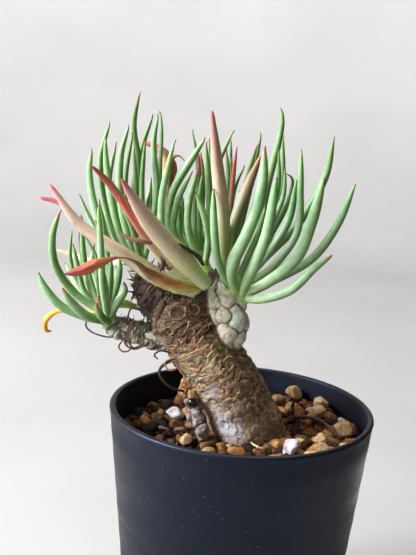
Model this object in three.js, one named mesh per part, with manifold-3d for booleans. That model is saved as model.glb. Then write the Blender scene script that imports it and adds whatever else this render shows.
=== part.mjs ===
// Potted Tylecodon pearsonii, a small succulent with a swollen leaning trunk, in a round nursery pot.
// Millimetres, +Z up. The origin is the middle of the pot's foot. The view of reference looks along +Y.
import * as THREE from "three";
import { mergeVertices } from "three/addons/utils/BufferGeometryUtils.js";
import Module from "manifold-3d";

const wasm = await Module();
wasm.setup();

// Driving dimensions
const POT_HEIGHT = 72;
const POT_RIM_RADIUS = 37.5;
const POT_TAPER = 0.104;
const POT_WALL = 1.8;
const POT_FLOOR_UNDERSIDE = 2.5;
const POT_FLOOR_THICKNESS = 2;
const LIP_ROUND = 0.8;
const LIP_BAND = 3;
const LIP_FLARE = 0.05;
const FOOT_RING_WIDTH = 3;
const FOOT_CHAMFER = 0.6;
const FOOT_NOTCH_WIDTH = 7;
const FOOT_NOTCH_DEPTH = 1.5;
const FOOT_NOTCH_START = 20;
const CENTRE_PAD_RADIUS = 6;
const DRAIN_HOLE_RADIUS = 3;
const DRAIN_HOLE_CIRCLE = 15;
const DRAIN_HOLES = 6;
const SOIL_LEVEL = 65.2;
const SOIL_SLOPE = 0.03;
const GAP = 0.3;
const GOLDEN_ANGLE = Math.PI * (3 - Math.sqrt(5));

// Sides and rings: enough for the form, no more
const POT_SIDES = 40;
const DRAIN_HOLE_SIDES = 12;
const LEAF_SIDES = 5;
const LEAF_RING_SPACING = 7;

const potRadiusAt = (z) => POT_RIM_RADIUS - POT_TAPER * (POT_HEIGHT - z);

// Seeded random numbers from 0 to 1, so that every build gives the same plant
function seededRandom(seed) {
  let state = seed;
  return () => {
    state = (state * 1664525 + 1013904223) % 4294967296;
    return state / 4294967296;
  };
}

// A closed solid from a geometry: shared corners merged and empty faces dropped
function solidFrom(geometry) {
  geometry.deleteAttribute("normal");
  geometry.deleteAttribute("uv");
  const merged = mergeVertices(geometry, 1e-4);
  const corners = merged.index.array;
  const faces = [];
  for (let i = 0; i < corners.length; i += 3) {
    const [a, b, c] = corners.slice(i, i + 3);
    if (a !== b && b !== c && c !== a) faces.push(a, b, c);
  }
  const mesh = new wasm.Mesh({
    numProp: 3,
    vertProperties: new Float32Array(merged.attributes.position.array),
    triVerts: new Uint32Array(faces),
  });
  return new wasm.Manifold(mesh);
}

const join = (solids) => wasm.Manifold.union(solids);

// The main body of a cut solid, without the loose scraps that a cut can leave
function mainBody(solid) {
  const bodies = solid.decompose();
  return bodies.reduce((largest, body) => (body.volume() > largest.volume() ? body : largest));
}

function meshFrom(solid, name, look) {
  const { vertProperties, triVerts } = solid.getMesh();
  const geometry = new THREE.BufferGeometry();
  geometry.setAttribute("position", new THREE.BufferAttribute(new Float32Array(vertProperties), 3));
  geometry.setIndex(new THREE.BufferAttribute(new Uint32Array(triVerts), 1));
  geometry.computeVertexNormals();
  const mesh = new THREE.Mesh(geometry, new THREE.MeshStandardMaterial({ metalness: 0, ...look }));
  mesh.name = name;
  return mesh;
}

const curveThrough = (path) =>
  new THREE.CatmullRomCurve3(path.map((point) => new THREE.Vector3(...point)), false, "centripetal");

// A round piece along a curve: a turned profile whose axis is bent to follow the curve.
// radiusAt gives the radius from the share of the length, and ripple swells it from place to place.
function sweptRound(path, radiusAt, { sides = LEAF_SIDES, rings, ripple }) {
  const curve = curveThrough(path);
  const frames = curve.computeFrenetFrames(rings, false);
  const profile = [new THREE.Vector2(0, 0)];
  for (let ring = 0; ring <= rings; ring++) {
    profile.push(new THREE.Vector2(radiusAt(ring / rings, curve), ring));
  }
  profile.push(new THREE.Vector2(0, rings));
  const geometry = new THREE.LatheGeometry(profile, sides);
  const position = geometry.attributes.position;
  const point = new THREE.Vector3();
  for (let i = 0; i < position.count; i++) {
    const ring = Math.round(position.getY(i));
    const across = position.getX(i);
    const depth = position.getZ(i);
    const swell = ripple ? ripple(ring / rings, Math.atan2(across, depth)) : 1;
    point.copy(curve.getPointAt(ring / rings));
    point.addScaledVector(frames.binormals[ring], across * swell);
    point.addScaledVector(frames.normals[ring], depth * swell);
    position.setXYZ(i, point.x, point.y, point.z);
  }
  return solidFrom(geometry);
}

// Radius read between the girths given at the points of the path
function radiusBetween(girths, extra = 0) {
  return (share, curve) => {
    const place = curve.getUtoTmapping(share) * (girths.length - 1);
    const before = Math.min(Math.floor(place), girths.length - 2);
    return THREE.MathUtils.lerp(girths[before], girths[before + 1], place - before) + extra;
  };
}

// Pot: a turned plastic shell with a rounded lip, a notched foot ring, a raised floor with
// drain holes, and a flat pad in the middle of its underside
function potSolid() {
  const top = POT_HEIGHT;
  const inside = (z) => potRadiusAt(z) - POT_WALL;
  const floorTop = POT_FLOOR_UNDERSIDE + POT_FLOOR_THICKNESS;
  const outline = [
    [0, 0],
    [CENTRE_PAD_RADIUS, 0],
    [CENTRE_PAD_RADIUS + FOOT_CHAMFER, POT_FLOOR_UNDERSIDE],
    [potRadiusAt(0) - FOOT_RING_WIDTH, POT_FLOOR_UNDERSIDE],
    [potRadiusAt(0) - FOOT_RING_WIDTH + FOOT_CHAMFER, 0],
    [potRadiusAt(0) - FOOT_CHAMFER, 0],
    [potRadiusAt(FOOT_CHAMFER), FOOT_CHAMFER],
    [potRadiusAt(top - LIP_BAND), top - LIP_BAND],
    [potRadiusAt(top) + LIP_FLARE, top - LIP_ROUND],
    [potRadiusAt(top) - 0.3 * LIP_ROUND, top - 0.2 * LIP_ROUND],
    [potRadiusAt(top) - LIP_ROUND, top],
    [inside(top) + 0.3 * LIP_ROUND, top - 0.2 * LIP_ROUND],
    [inside(top), top - LIP_ROUND],
    [inside(floorTop), floorTop],
    [0, floorTop],
  ];
  const shell = new THREE.LatheGeometry(outline.map((point) => new THREE.Vector2(...point)), POT_SIDES);
  shell.rotateX(Math.PI / 2);
  const cuts = [];
  for (let hole = 0; hole < DRAIN_HOLES; hole++) {
    const angle = (hole / DRAIN_HOLES) * 2 * Math.PI;
    const length = 5 * POT_FLOOR_THICKNESS;
    const drill = new THREE.CylinderGeometry(DRAIN_HOLE_RADIUS, DRAIN_HOLE_RADIUS, length, DRAIN_HOLE_SIDES);
    drill.rotateX(Math.PI / 2);
    drill.translate(DRAIN_HOLE_CIRCLE * Math.cos(angle), DRAIN_HOLE_CIRCLE * Math.sin(angle), floorTop);
    cuts.push(solidFrom(drill));
  }
  for (let notch = 0; notch < 2; notch++) {
    const slot = new THREE.BoxGeometry(3 * POT_RIM_RADIUS, FOOT_NOTCH_WIDTH, 2 * FOOT_NOTCH_DEPTH);
    slot.rotateZ((notch + 0.5) * (Math.PI / 2));
    const height = 4 * FOOT_NOTCH_DEPTH;
    const middle = new THREE.CylinderGeometry(FOOT_NOTCH_START, FOOT_NOTCH_START, height, POT_SIDES);
    middle.rotateX(Math.PI / 2);
    cuts.push(solidFrom(slot).subtract(solidFrom(middle)));
  }
  return solidFrom(shell).subtract(join(cuts));
}

// Caudex: each stretch is a path of centres with the radius at each
const TRUNK = {
  path: [[4, -2, 59], [2, -2, 65.5], [-1.5, -2, 74], [-6.5, -3, 82.5], [-11.5, -3, 88.5], [-16.5, -3, 94.5],
    [-20, -3, 99.5], [-21, -3, 103.5]],
  girths: [9.2, 9.8, 9.4, 9.1, 8.9, 8.4, 7.4, 4.5],
};
const ROOT = { path: [[4, -2, 64], [5, -2, 50], [5, -2, 28]], girths: [8.6, 8, 5] };
const ROOT_FLARE = { path: [[4.5, -3, 76], [8.2, -4, 69.5], [10.3, -4, 63.5]], girths: [3.4, 3.7, 3.2] };
const KNOTTED_ROOT = {
  path: [[-15.5, -5, 80.5], [-14.8, -6.5, 77], [-13.2, -7.5, 74.2], [-12.4, -8, 71], [-10.6, -9.5, 67.8],
    [-9.5, -9, 62]],
  girths: [1.8, 2.4, 2.2, 2.2, 2.2, 1.8],
};
const RIGHT_BRANCH = {
  path: [[-7, -3, 86], [-5, -4, 95], [-5.3, -4, 100.5], [-6.5, -4, 105.5]],
  girths: [5, 5, 5, 4.2],
};
const RIGHT_CROWN_STUB = { path: [[-5, -4, 100], [-3, -4, 105]], girths: [4, 3] };
const OLD_LEAF_STUB = { path: [[-7, -4, 101], [-11, -5, 104.5], [-13, -7.5, 106.5]], girths: [4, 3.2, 2.2] };
const MIDDLE_STUB = { path: [[-9, -3, 102], [-11.5, 0, 106], [-12, 2.5, 109]], girths: [3, 2.4, 2] };
const UPRIGHT_LEAF_STUB = {
  path: [[-6, -3, 102], [-8, -1.5, 107], [-9.7, 0, 111.5]],
  girths: [3.4, 2.6, 1.5],
};
const CENTRE_LEFT_STUB = {
  path: [[-20, -2, 97], [-25.5, -1, 102], [-28.5, 1, 105.5], [-29.5, 2.5, 108.5]],
  girths: [6, 5.4, 4, 2.8],
};
const LEFT_BRANCH = {
  path: [[-18, -4, 90.5], [-26, -4.5, 92], [-33, -5, 93], [-38, -5, 94.5]],
  girths: [3.6, 3.1, 2.8, 2.3],
};
const STRETCHES = [TRUNK, ROOT, ROOT_FLARE, KNOTTED_ROOT, RIGHT_BRANCH, RIGHT_CROWN_STUB, OLD_LEAF_STUB,
  MIDDLE_STUB, UPRIGHT_LEAF_STUB, CENTRE_LEFT_STUB, LEFT_BRANCH];

// Dry twigs, loops of old root and leaf remains, about as thick as a match is wide
const DRY_TWIGS = [
  [[-16, -7, 87.5], [-21.5, -10, 86], [-23, -10.5, 84], [-22, -10.5, 81.5], [-19, -10, 79], [-13, -6, 77]],
  [[-32.5, -6, 93], [-32.5, -8, 98], [-31.5, -8.5, 100.5], [-29, -8.5, 100]],
  [[-37, -5.5, 94.5], [-43.5, -5.5, 96], [-44.5, -5.5, 94], [-43, -6, 92.5], [-38, -7, 91.5], [-33, -6, 92]],
  [[-25, -6, 91.5], [-28, -8.5, 90], [-30.5, -8.5, 89], [-33, -7.5, 90], [-32.5, -5, 91.5]],
];
const TWIG_RADIUS = 0.5;

// Wavy bark: broad folds that run round the trunk and rise as they go
const barkRipple = (share, angle) =>
  1 + 0.03 * Math.sin(3 * angle + 9 * share) + 0.03 * Math.sin(2 * angle - 44 * share + 1);

// Knobs left by fallen leaves: how many sit on a stretch, their size, and the share of its length
// from which and to which they are set round it in a spiral
const KNOBS = [
  { stretch: RIGHT_BRANCH, count: 18, size: 2.9, from: 0.1, to: 0.9 },
  { stretch: LEFT_BRANCH, count: 11, size: 2.2, from: 0.3, to: 0.95 },
  { stretch: TRUNK, count: 10, size: 2.8, from: 0.6, to: 0.92 },
];
const KNOB_STEPS = 40;
const KNOB_SINK = 0.6;

function knobSolids({ stretch, count, size, from, to }, growth) {
  const curve = curveThrough(stretch.path);
  const radiusAt = radiusBetween(stretch.girths);
  const frames = curve.computeFrenetFrames(KNOB_STEPS, false);
  const solids = [];
  for (let knob = 0; knob < count; knob++) {
    const share = THREE.MathUtils.lerp(from, to, (knob + 0.5) / count);
    const frame = Math.round(share * KNOB_STEPS);
    const angle = knob * GOLDEN_ANGLE;
    const outward = frames.normals[frame].clone().multiplyScalar(Math.cos(angle));
    outward.addScaledVector(frames.binormals[frame], Math.sin(angle));
    const reach = radiusAt(share, curve) - KNOB_SINK * size;
    const centre = curve.getPointAt(share).addScaledVector(outward, reach);
    const lump = new THREE.IcosahedronGeometry(size + growth, 0);
    lump.rotateZ(knob);
    lump.rotateX(0.7 * knob);
    lump.translate(centre.x, centre.y, centre.z);
    solids.push(solidFrom(lump));
  }
  return solids;
}

// The whole woody body. growth makes it fatter, for the room that its neighbours leave it.
function caudexSolid(growth = 0) {
  const solids = STRETCHES.map((stretch) => {
    const large = stretch === TRUNK;
    const plain = stretch === ROOT;
    return sweptRound(stretch.path, radiusBetween(stretch.girths, growth), {
      sides: large ? 18 : 9,
      rings: large ? 16 : 4,
      ripple: plain ? undefined : barkRipple,
    });
  });
  for (const twig of DRY_TWIGS) {
    solids.push(sweptRound(twig, () => TWIG_RADIUS + growth, { sides: 4, rings: twig.length + 3 }));
  }
  solids.push(...KNOBS.flatMap((row) => knobSolids(row, growth)));
  return join(solids);
}

// Rosettes. Each has a short crown and rows of leaves:
// [thickness, share of the crown's length where it springs, points of its centre line out to the tip]
const ROSETTES = {
  rosette_right: {
    crown: [[-2.5, -4, 103.5], [-4, -3, 110]],
    crownRadii: [3.2, 1.7],
    leaves: [
      [2.6, 0.1, [3.5, -8, 105.5], [11, -10, 109], [17, -10, 115.5], [21.5, -9, 119]],
      [2.5, 0.3, [8, 2, 109.5], [17, 5, 115], [23, 5, 124.5], [27, 3, 137]],
      [3.4, 0.2, [5, -6, 110], [12, -8, 117.5], [15, -9, 127], [17.5, -10, 139.5]],
      [2.5, 0.5, [3.5, 5, 114], [12, 8, 123.5], [19, 9, 137.5], [20.5, 8, 149]],
      [2.2, 0.4, [6, 0, 113], [12, 2, 122.5], [12, 2, 135.5], [11.5, 2, 145.5]],
      [3, 0.1, [0.5, -11, 114], [3.5, -14, 124], [4.5, -15, 132.5], [5, -15, 139.5]],
      [3.3, 0.2, [-5, -12, 114.5], [-1.5, -12, 124], [1.5, -9, 135], [1.5, -7, 146.5]],
      [2.2, 0.7, [1, 4, 120.5], [3, 6, 134], [6, 6, 152], [5.5, 5, 156]],
      [1.7, 0.8, [2.5, 8, 118.5], [7, 11, 132.5], [6.5, 10, 148.5]],
      [1.6, 0.7, [3, 1, 120.5], [7.5, 2, 132], [7.5, 2, 140.5]],
      [1.5, 0.9, [3, 5, 121.5], [6, 6, 133.5], [5.5, 5, 145]],
      [1.8, 0.6, [4.5, 10, 119], [9.5, 13, 130], [10, 13, 136], [8.5, 12, 137.5]],
      [2.3, 0.5, [4, 4, 115], [9.5, 5, 125], [11, 4, 137]],
      [2.2, 0.2, [-8.5, -13, 115.5], [-10, -15, 124], [-11, -14, 135.5]],
      [2, 0.7, [-1, -3, 115.5], [1.5, -5, 122.5], [3, -6, 130.5]],
      [1.8, 0.9, [-4, 12, 119], [-1.5, 15, 134], [0.5, 15, 148.5]],
      [1.8, 1, [-4.5, 8, 118], [-3, 11, 133], [-0.5, 10, 145.5]],
      [1.5, 0.9, [-7, 13, 120], [-6, 15, 132.5], [-3.5, 15, 139]],
      [1.3, 1, [-7.5, 10, 119], [-7.5, 11, 137.5], [-8, 10, 147]],
      [1.6, 0.8, [-7.5, 6, 121.5], [-8, 7, 136.5], [-9, 7, 144]],
      [1.6, 1, [-7, 6, 120], [-7, 7, 134.5], [-7.5, 7, 142]],
      [1.5, 0.9, [-6.5, 2, 120.5], [-6.5, 3, 134.5], [-6, 3, 145]],
      [2.6, 0.5, [1, 14, 111], [5.5, 24, 118.5], [7.5, 27, 126.5]],
      [2.6, 0.4, [-4.5, 15, 110.5], [-5, 26, 118], [-5, 30, 129.5]],
      [2.6, 0.3, [3.5, 13, 107.5], [11, 22, 110], [17.5, 27, 116.5]],
      [2.4, 0.3, [-6.5, 13, 109.5], [-8.5, 22, 114.5], [-8.5, 26, 123.5]],
    ],
  },
  rosette_middle: {
    crown: [[-12, 2.5, 108.5], [-15, 4, 115]],
    crownRadii: [2.2, 1.6],
    leaves: [
      [2, 0.2, [-24, 0, 119], [-25.5, -1, 128], [-24, -2, 139], [-22.5, -2, 146.5]],
      [2.5, 0.4, [-23, 5, 119], [-23.5, 5, 129.5], [-18.5, 5, 140], [-14.5, 4, 147]],
      [1.9, 0.4, [-21.5, 2, 119.5], [-21.5, 1, 128], [-17.5, 0, 138]],
      [1.2, 0.9, [-16.5, 15, 128], [-18, 17, 142], [-19.5, 17, 148]],
      [1.6, 1, [-16.5, 11, 127], [-16.5, 12, 136.5], [-17, 12, 142.5]],
      [1.4, 1, [-15, 13, 127], [-15.5, 14, 136], [-16.5, 14, 142]],
      [1.9, 0.6, [-12, 3, 121], [-13, 2, 132.5], [-14.5, 2, 146]],
      [1.2, 0.8, [-12.5, 9, 122], [-13, 10, 136], [-14, 9, 146.5]],
      [2.1, 0.5, [-17.5, 0, 120.5], [-18, -1, 128.5], [-16, 0, 139]],
      [1.4, 0.7, [-16, 2, 120], [-16.5, 2, 127], [-16.5, 2, 132.5]],
      [1.7, 0.8, [-15, 4, 119.5], [-15.5, 5, 128.5], [-15, 5, 137]],
      [1.4, 0.9, [-13.5, 4, 117], [-13.5, 5, 121.5]],
      [2, 0.3, [-12, -2, 119.5], [-13, -4, 125], [-16, -5, 133]],
      [1.6, 0.5, [-19.5, 8, 120.5], [-20.5, 9, 126.5], [-20.5, 9, 130]],
      [2.8, 0.3, [-20.5, 4, 118.5], [-21, 5, 123], [-21, 5, 127.5]],
      [1.5, 0.7, [-14, 16, 122], [-11.5, 18, 137.5], [-7.5, 17, 148.5]],
      [2.4, 0.4, [-18.5, 13, 114.5], [-22, 22, 120], [-22.5, 26, 129.5]],
      [2.4, 0.3, [-13.5, 14, 113.5], [-14.5, 24, 117], [-16.5, 28, 127]],
      [2.2, 0.1, [-20, 13, 112], [-25, 23, 111], [-28.5, 29, 115.5]],
    ],
  },
  rosette_centre_left: {
    crown: [[-29.5, 2.5, 107.5], [-32, 3, 113.5]],
    crownRadii: [2.8, 1.7],
    leaves: [
      [2.3, 0.3, [-39.5, 4, 115], [-44.5, 4, 125.5], [-46.5, 5, 135], [-46, 5, 142]],
      [1.9, 0.5, [-38.5, 6, 117], [-43, 8, 128.5], [-44, 8, 139], [-41.5, 7, 149.5]],
      [2.2, 0.4, [-36, 2, 117], [-39.5, 1, 128.5], [-41.5, 2, 139], [-42, 2, 145.5]],
      [1.5, 0.7, [-38, 11, 118], [-42, 13, 130.5], [-40.5, 13, 143.5]],
      [2.1, 0.5, [-34, -1, 118.5], [-36.5, -2, 129], [-37, -2, 140.5], [-35, -2, 149.5]],
      [1.5, 0.8, [-35, 5, 120], [-36.5, 6, 133.5], [-35, 6, 147]],
      [1.8, 0.9, [-32, 7, 122], [-33, 8, 137.5], [-35, 8, 148.5], [-33.5, 6, 158]],
      [1.6, 1, [-35, 10, 121.5], [-35, 12, 131], [-33, 12, 142], [-30, 11, 152]],
      [1.5, 0.8, [-31, 3, 121.5], [-31.5, 3, 134], [-31, 2, 145.5]],
      [1.4, 1, [-32.5, 5, 122.5], [-33.5, 5, 133.5], [-34.5, 5, 143]],
      [1.4, 0.9, [-35, 8, 123.5], [-34.5, 9, 132], [-34, 9, 140]],
      [1.9, 0.3, [-28.5, 4, 121.5], [-27.5, 4, 132], [-29, 5, 144], [-28, 5, 152.5]],
      [1.5, 0.5, [-27.5, 9, 121.5], [-27.5, 10, 138], [-27.5, 10, 148], [-28, 10, 153]],
      [1.5, 0.3, [-42, 10, 114], [-48, 12, 122.5], [-50.5, 12, 128]],
      [1.8, 0.4, [-32, -3, 119], [-33.5, -5, 124], [-36, -6, 128]],
      [1.4, 0.2, [-37.5, -1, 114.5], [-41.5, -2, 118], [-43.5, -1, 123]],
      [2.4, 0.4, [-35.5, 14, 114], [-41, 24, 120.5], [-43.5, 28, 130.5]],
      [2.4, 0.5, [-32, 15, 114.5], [-32, 25, 121], [-32, 29, 132]],
      [2.2, 0.2, [-36.5, 14, 110.5], [-43, 23, 112.5], [-46.5, 29, 120.5]],
      [1.6, 0.6, [-31.5, 8, 119], [-31, 10, 124.5], [-30, 10, 130]],
      [2.2, 0.2, [-33.5, 16, 111.5], [-36, 27, 113.5], [-37, 34, 119.5]],
    ],
  },
  rosette_left: {
    crown: [[-37.5, -5, 94.5], [-41, -4, 99.5]],
    crownRadii: [2.6, 1.6],
    leaves: [
      [2.5, 0.1, [-45.5, -8, 97.5], [-51, -10, 100.5], [-55, -11, 105.5], [-57, -11, 109.5]],
      [2.3, 0.5, [-47.5, -6, 103], [-52.5, -9, 111], [-53, -11.5, 119.5], [-51, -12, 127]],
      [2.6, 0.1, [-44, -12, 99], [-47.5, -14, 103], [-49.5, -15, 106.5]],
      [1.3, 0.7, [-47.5, 0, 103.5], [-50.5, 1, 111], [-50.5, 2, 119]],
      [1.5, 0.6, [-45.5, -3, 103], [-47.5, -4, 110.5], [-49, -4, 116.5]],
      [1.7, 0.8, [-44, -2, 103.5], [-46.5, -1, 113.5], [-47.5, 0, 124]],
      [1, 0.9, [-46, 3, 103.5], [-48, 4, 111.5], [-49, 4, 118.5]],
      [1.9, 0.2, [-39, -13, 107.5], [-39.5, -15, 118], [-40.5, -15, 129.5]],
      [2.1, 0.2, [-38.5, -10, 102.5], [-38.5, -12, 107], [-39, -12, 111]],
      [1.7, 0.6, [-38, -7, 103], [-37.5, -9, 109.5], [-37.5, -9.5, 114.5]],
      [2.2, 0.2, [-35.5, -9, 102], [-33.5, -9, 105.5], [-34, -9, 108]],
      [2.2, 0, [-39.5, -12, 99], [-40.5, -13, 101.5], [-40.5, -13, 102.5]],
      [1.4, 0.8, [-42, -3, 101], [-44, -2, 106], [-45.5, -1, 111]],
      [1.6, 0.4, [-40.5, -7, 100.5], [-41, -8, 103.5]],
      [1.9, 0.5, [-37, -3, 103.5], [-36, -3, 109.5], [-36.5, -2, 114]],
      [1.5, 0.8, [-39.5, 0, 107.5], [-41, 1, 118.5], [-43, 1, 128.5]],
      [1.3, 0.9, [-41.5, -5, 105.5], [-42, -5, 110.5], [-42.5, -5, 114]],
      [1.1, 0.8, [-41, 3, 104], [-44, 5, 111.5], [-47.5, 6, 117]],
      [2.2, 0.6, [-43, 7, 100], [-46.5, 14, 105], [-46.5, 16, 113]],
      [2.2, 0.6, [-45.5, 6, 98.5], [-51, 13, 101.5], [-55, 17, 106.5]],
      [2, 0.6, [-40.5, 6, 99.5], [-39.5, 14, 103], [-39, 18, 108.5]],
    ],
  },
};

// Makes up for the flats of a leaf with few sides, so that it looks as wide as a round one
const FEW_SIDES = 1.07;

// A leaf's root starts this share of the crown's radius out from its middle
const ROOT_DEPTH = 0.4;

// A leaf is plump from a third of its length and runs out to a fine tip
function leafRadius(thickness, growth) {
  return (share) => {
    const narrowing = (1 - Math.max(0, (share - 0.35) / 0.65) ** 4) ** 0.7;
    const base = 0.8 + 0.2 * Math.min(share / 0.25, 1);
    return Math.max(0.5 * thickness * base * narrowing * FEW_SIDES, 0.3) + growth;
  };
}

function rosetteSolid({ crown, crownRadii, leaves }, growth = 0) {
  const [bottom, top] = crown.map((point) => new THREE.Vector3(...point));
  const core = sweptRound(crown, radiusBetween(crownRadii, growth), { sides: 8, rings: 2 });
  const blades = leaves.map(([thickness, share, ...points]) => {
    const root = bottom.clone().lerp(top, share);
    const outward = new THREE.Vector3(...points[0]).sub(root).normalize();
    root.addScaledVector(outward, ROOT_DEPTH * crownRadii[1]);
    const path = [root.toArray(), ...points];
    const rings = Math.max(3, Math.round(curveThrough(path).getLength() / LEAF_RING_SPACING));
    return sweptRound(path, leafRadius(thickness, growth), { rings });
  });
  return join([core, ...blades]);
}

// Spent and single leaves, each with its own girth from root to tip
const SINGLE_LEAVES = {
  old_leaf_broad: {
    path: [[-11.5, -9, 108.5], [-19, -14, 117], [-27, -20, 127], [-33, -28, 138]],
    girths: [1.9, 2.7, 2.2, 0.4],
  },
  old_leaf_upright: {
    path: [[-6.5, -2, 107.5], [-7.5, -5, 116], [-8.5, -10, 129], [-10.5, -16, 143], [-12, -22, 155.5]],
    girths: [1.5, 1.8, 2, 1.5, 0.35],
  },
  old_leaf_olive: {
    path: [[-5, -6, 111.5], [-5.5, -5, 122], [-2.5, -4, 134], [1, -2, 144]],
    girths: [1.2, 1.6, 1.6, 0.35],
  },
  withered_leaf: {
    path: [[-13.5, -8.5, 106.8], [-20.5, -15, 109.2], [-26.5, -18, 112.8], [-30.5, -19, 116],
      [-34.7, -20, 116.6], [-39, -21, 115], [-43.5, -22, 113], [-47.5, -23, 112]],
    girths: [1.2, 1.9, 1.4, 0.5, 0.5, 1.5, 1.5, 0.4],
  },
  old_leaf_long: {
    path: [[-14.5, -8, 106.5], [-24, -10.5, 110], [-35, -10.5, 116.5], [-46, -9, 122.5], [-55, -8, 133]],
    girths: [2, 2.5, 1.9, 1.6, 0.5],
  },
  old_leaf_crimson: {
    path: [[-14, -7, 107.5], [-22.5, -8, 114], [-31.5, -13, 126.5], [-37.5, -20, 136], [-41, -25, 140.5]],
    girths: [1.3, 1.8, 1.4, 0.9, 0.3],
  },
  old_leaf_thin_red: {
    path: [[-14.5, -8, 108], [-23, -10, 114.5], [-29, -15, 122.5], [-34.5, -20, 132.5]],
    girths: [0.7, 0.8, 0.8, 0.4],
  },
  old_leaf_red_hook: {
    path: [[-28, -0.5, 107.6], [-40, -3, 116.8], [-48, -4, 122.7], [-53, -4, 127.4], [-58.5, -4, 128.5]],
    girths: [0.7, 0.8, 0.8, 0.7, 0.5],
  },
  pale_pink_leaf: {
    path: [[-35.5, 10, 109.5], [-45, 20, 106], [-53, 24, 107], [-59.5, 25, 108.5]],
    girths: [0.8, 1, 1, 0.4],
  },
  yellow_green_leaf: {
    path: [[-38.5, -1, 98], [-36.5, 1, 99], [-34, 3, 98.5], [-30.5, 4, 97]],
    girths: [0.8, 1.3, 1.2, 0.4],
  },
  yellow_curled_leaf: {
    path: [[-42.5, -2, 96.5], [-49, 2, 96], [-54.5, 3, 95], [-57.5, 3, 92], [-57.5, 4, 89], [-56, 5, 88.5]],
    girths: [0.6, 0.8, 0.8, 0.8, 0.6, 0.4],
  },
  dry_curl: {
    path: [[-26, -17, 120.5], [-29, -18, 121], [-31.5, -18, 121.5], [-34.5, -17, 122.5]],
    girths: [0.5, 0.6, 0.6, 0.4],
  },
  papery_leaf: {
    path: [[-25, 5, 104], [-26, 12, 114], [-26, 18, 124], [-25.8, 20, 132], [-26.2, 20, 137],
      [-28, 20, 140.5], [-31.3, 20, 142.6], [-35, 20, 142.9]],
    girths: [1, 1.3, 1.7, 2.3, 2.4, 1.6, 0.9, 0.4],
  },
};

function singleLeafSolid({ path, girths }, growth = 0) {
  return sweptRound(path, radiusBetween(girths, growth), { sides: 6, rings: 2 * path.length });
}

// Soil: fills the pot from its floor. Its top is a relief of granules, whose middles lie in
// a sunflower spiral, with larger stones lying on it.
const GRANULES = 170;
const GRANULE_RADIUS = 2.7;
const SOIL_SIDES = 50;
const SOIL_RINGS = 14;
const LARGE_STONES = [
  [-19, 4.5, 2.5], [14, -18, 2.8], [29.5, 7.5, 1.2], [11, 21.5, 2.2], [16, 27.5, 2.5], [24, 20, 2.3],
  [22.5, 10, 3], [29.5, -3, 3], [16.5, -13, 1.9], [22.5, -9.5, 2.2], [14.5, 14, 2.1], [19.5, -21, 2],
  [22.5, -16, 2], [-8, -23, 2], [-21, -18, 1.9], [-14, -24, 1.9], [-13, 5.5, 2], [-14.5, -14, 2],
];

// The bed's corners also clear the flats of the many-sided pot wall
const CORNER_ROOM = 0.1;
const bedRadius = potRadiusAt(SOIL_LEVEL) - POT_WALL - GAP - CORNER_ROOM;

function granuleMiddles() {
  const random = seededRandom(7);
  const middles = [];
  for (let granule = 0; granule < GRANULES; granule++) {
    const reach = bedRadius * Math.sqrt((granule + random()) / GRANULES);
    const angle = granule * GOLDEN_ANGLE;
    middles.push([reach * Math.cos(angle), reach * Math.sin(angle), 0.7 + 0.6 * random()]);
  }
  return middles;
}

const GRANULE_MIDDLES = granuleMiddles();

// Height of the bed: gentle unevenness, and a dome over each granule
function soilHeight(x, y) {
  const level = SOIL_LEVEL - 1.4 + SOIL_SLOPE * x + 0.4 * Math.sin(0.21 * x + 1) * Math.cos(0.17 * y);
  let dome = 0;
  for (const [middleX, middleY, size] of GRANULE_MIDDLES) {
    const away = Math.hypot(x - middleX, y - middleY) / (GRANULE_RADIUS * size);
    if (away < 1) dome = Math.max(dome, size * 2 * Math.sqrt(1 - away * away));
  }
  return level + dome;
}

function bedSolid() {
  const bottom = POT_FLOOR_UNDERSIDE + POT_FLOOR_THICKNESS + GAP;
  const bottomRadius = potRadiusAt(bottom) - POT_WALL - GAP;
  const profile = [new THREE.Vector2(0, bottom), new THREE.Vector2(bottomRadius, bottom)];
  for (let ring = SOIL_RINGS; ring >= 0; ring--) {
    profile.push(new THREE.Vector2((bedRadius * ring) / SOIL_RINGS, SOIL_LEVEL));
  }
  const geometry = new THREE.LatheGeometry(profile, SOIL_SIDES);
  geometry.rotateX(Math.PI / 2);
  const position = geometry.attributes.position;
  for (let i = 0; i < position.count; i++) {
    const onTop = position.getZ(i) > SOIL_LEVEL - 0.01;
    if (onTop) position.setZ(i, soilHeight(position.getX(i), position.getY(i)));
  }
  return solidFrom(geometry);
}

function largeStones() {
  const random = seededRandom(11);
  return LARGE_STONES.map(([x, y, size]) => {
    const stone = new THREE.IcosahedronGeometry(size, 0);
    stone.scale(1, 0.8 + 0.2 * random(), 0.65 + 0.2 * random());
    stone.rotateZ(2 * Math.PI * random());
    stone.translate(x, y, SOIL_LEVEL + SOIL_SLOPE * x + 0.7 * size);
    return solidFrom(stone);
  });
}

const soilSolid = () => join([bedSolid(), ...largeStones()]).subtract(caudexSolid(GAP));

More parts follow.
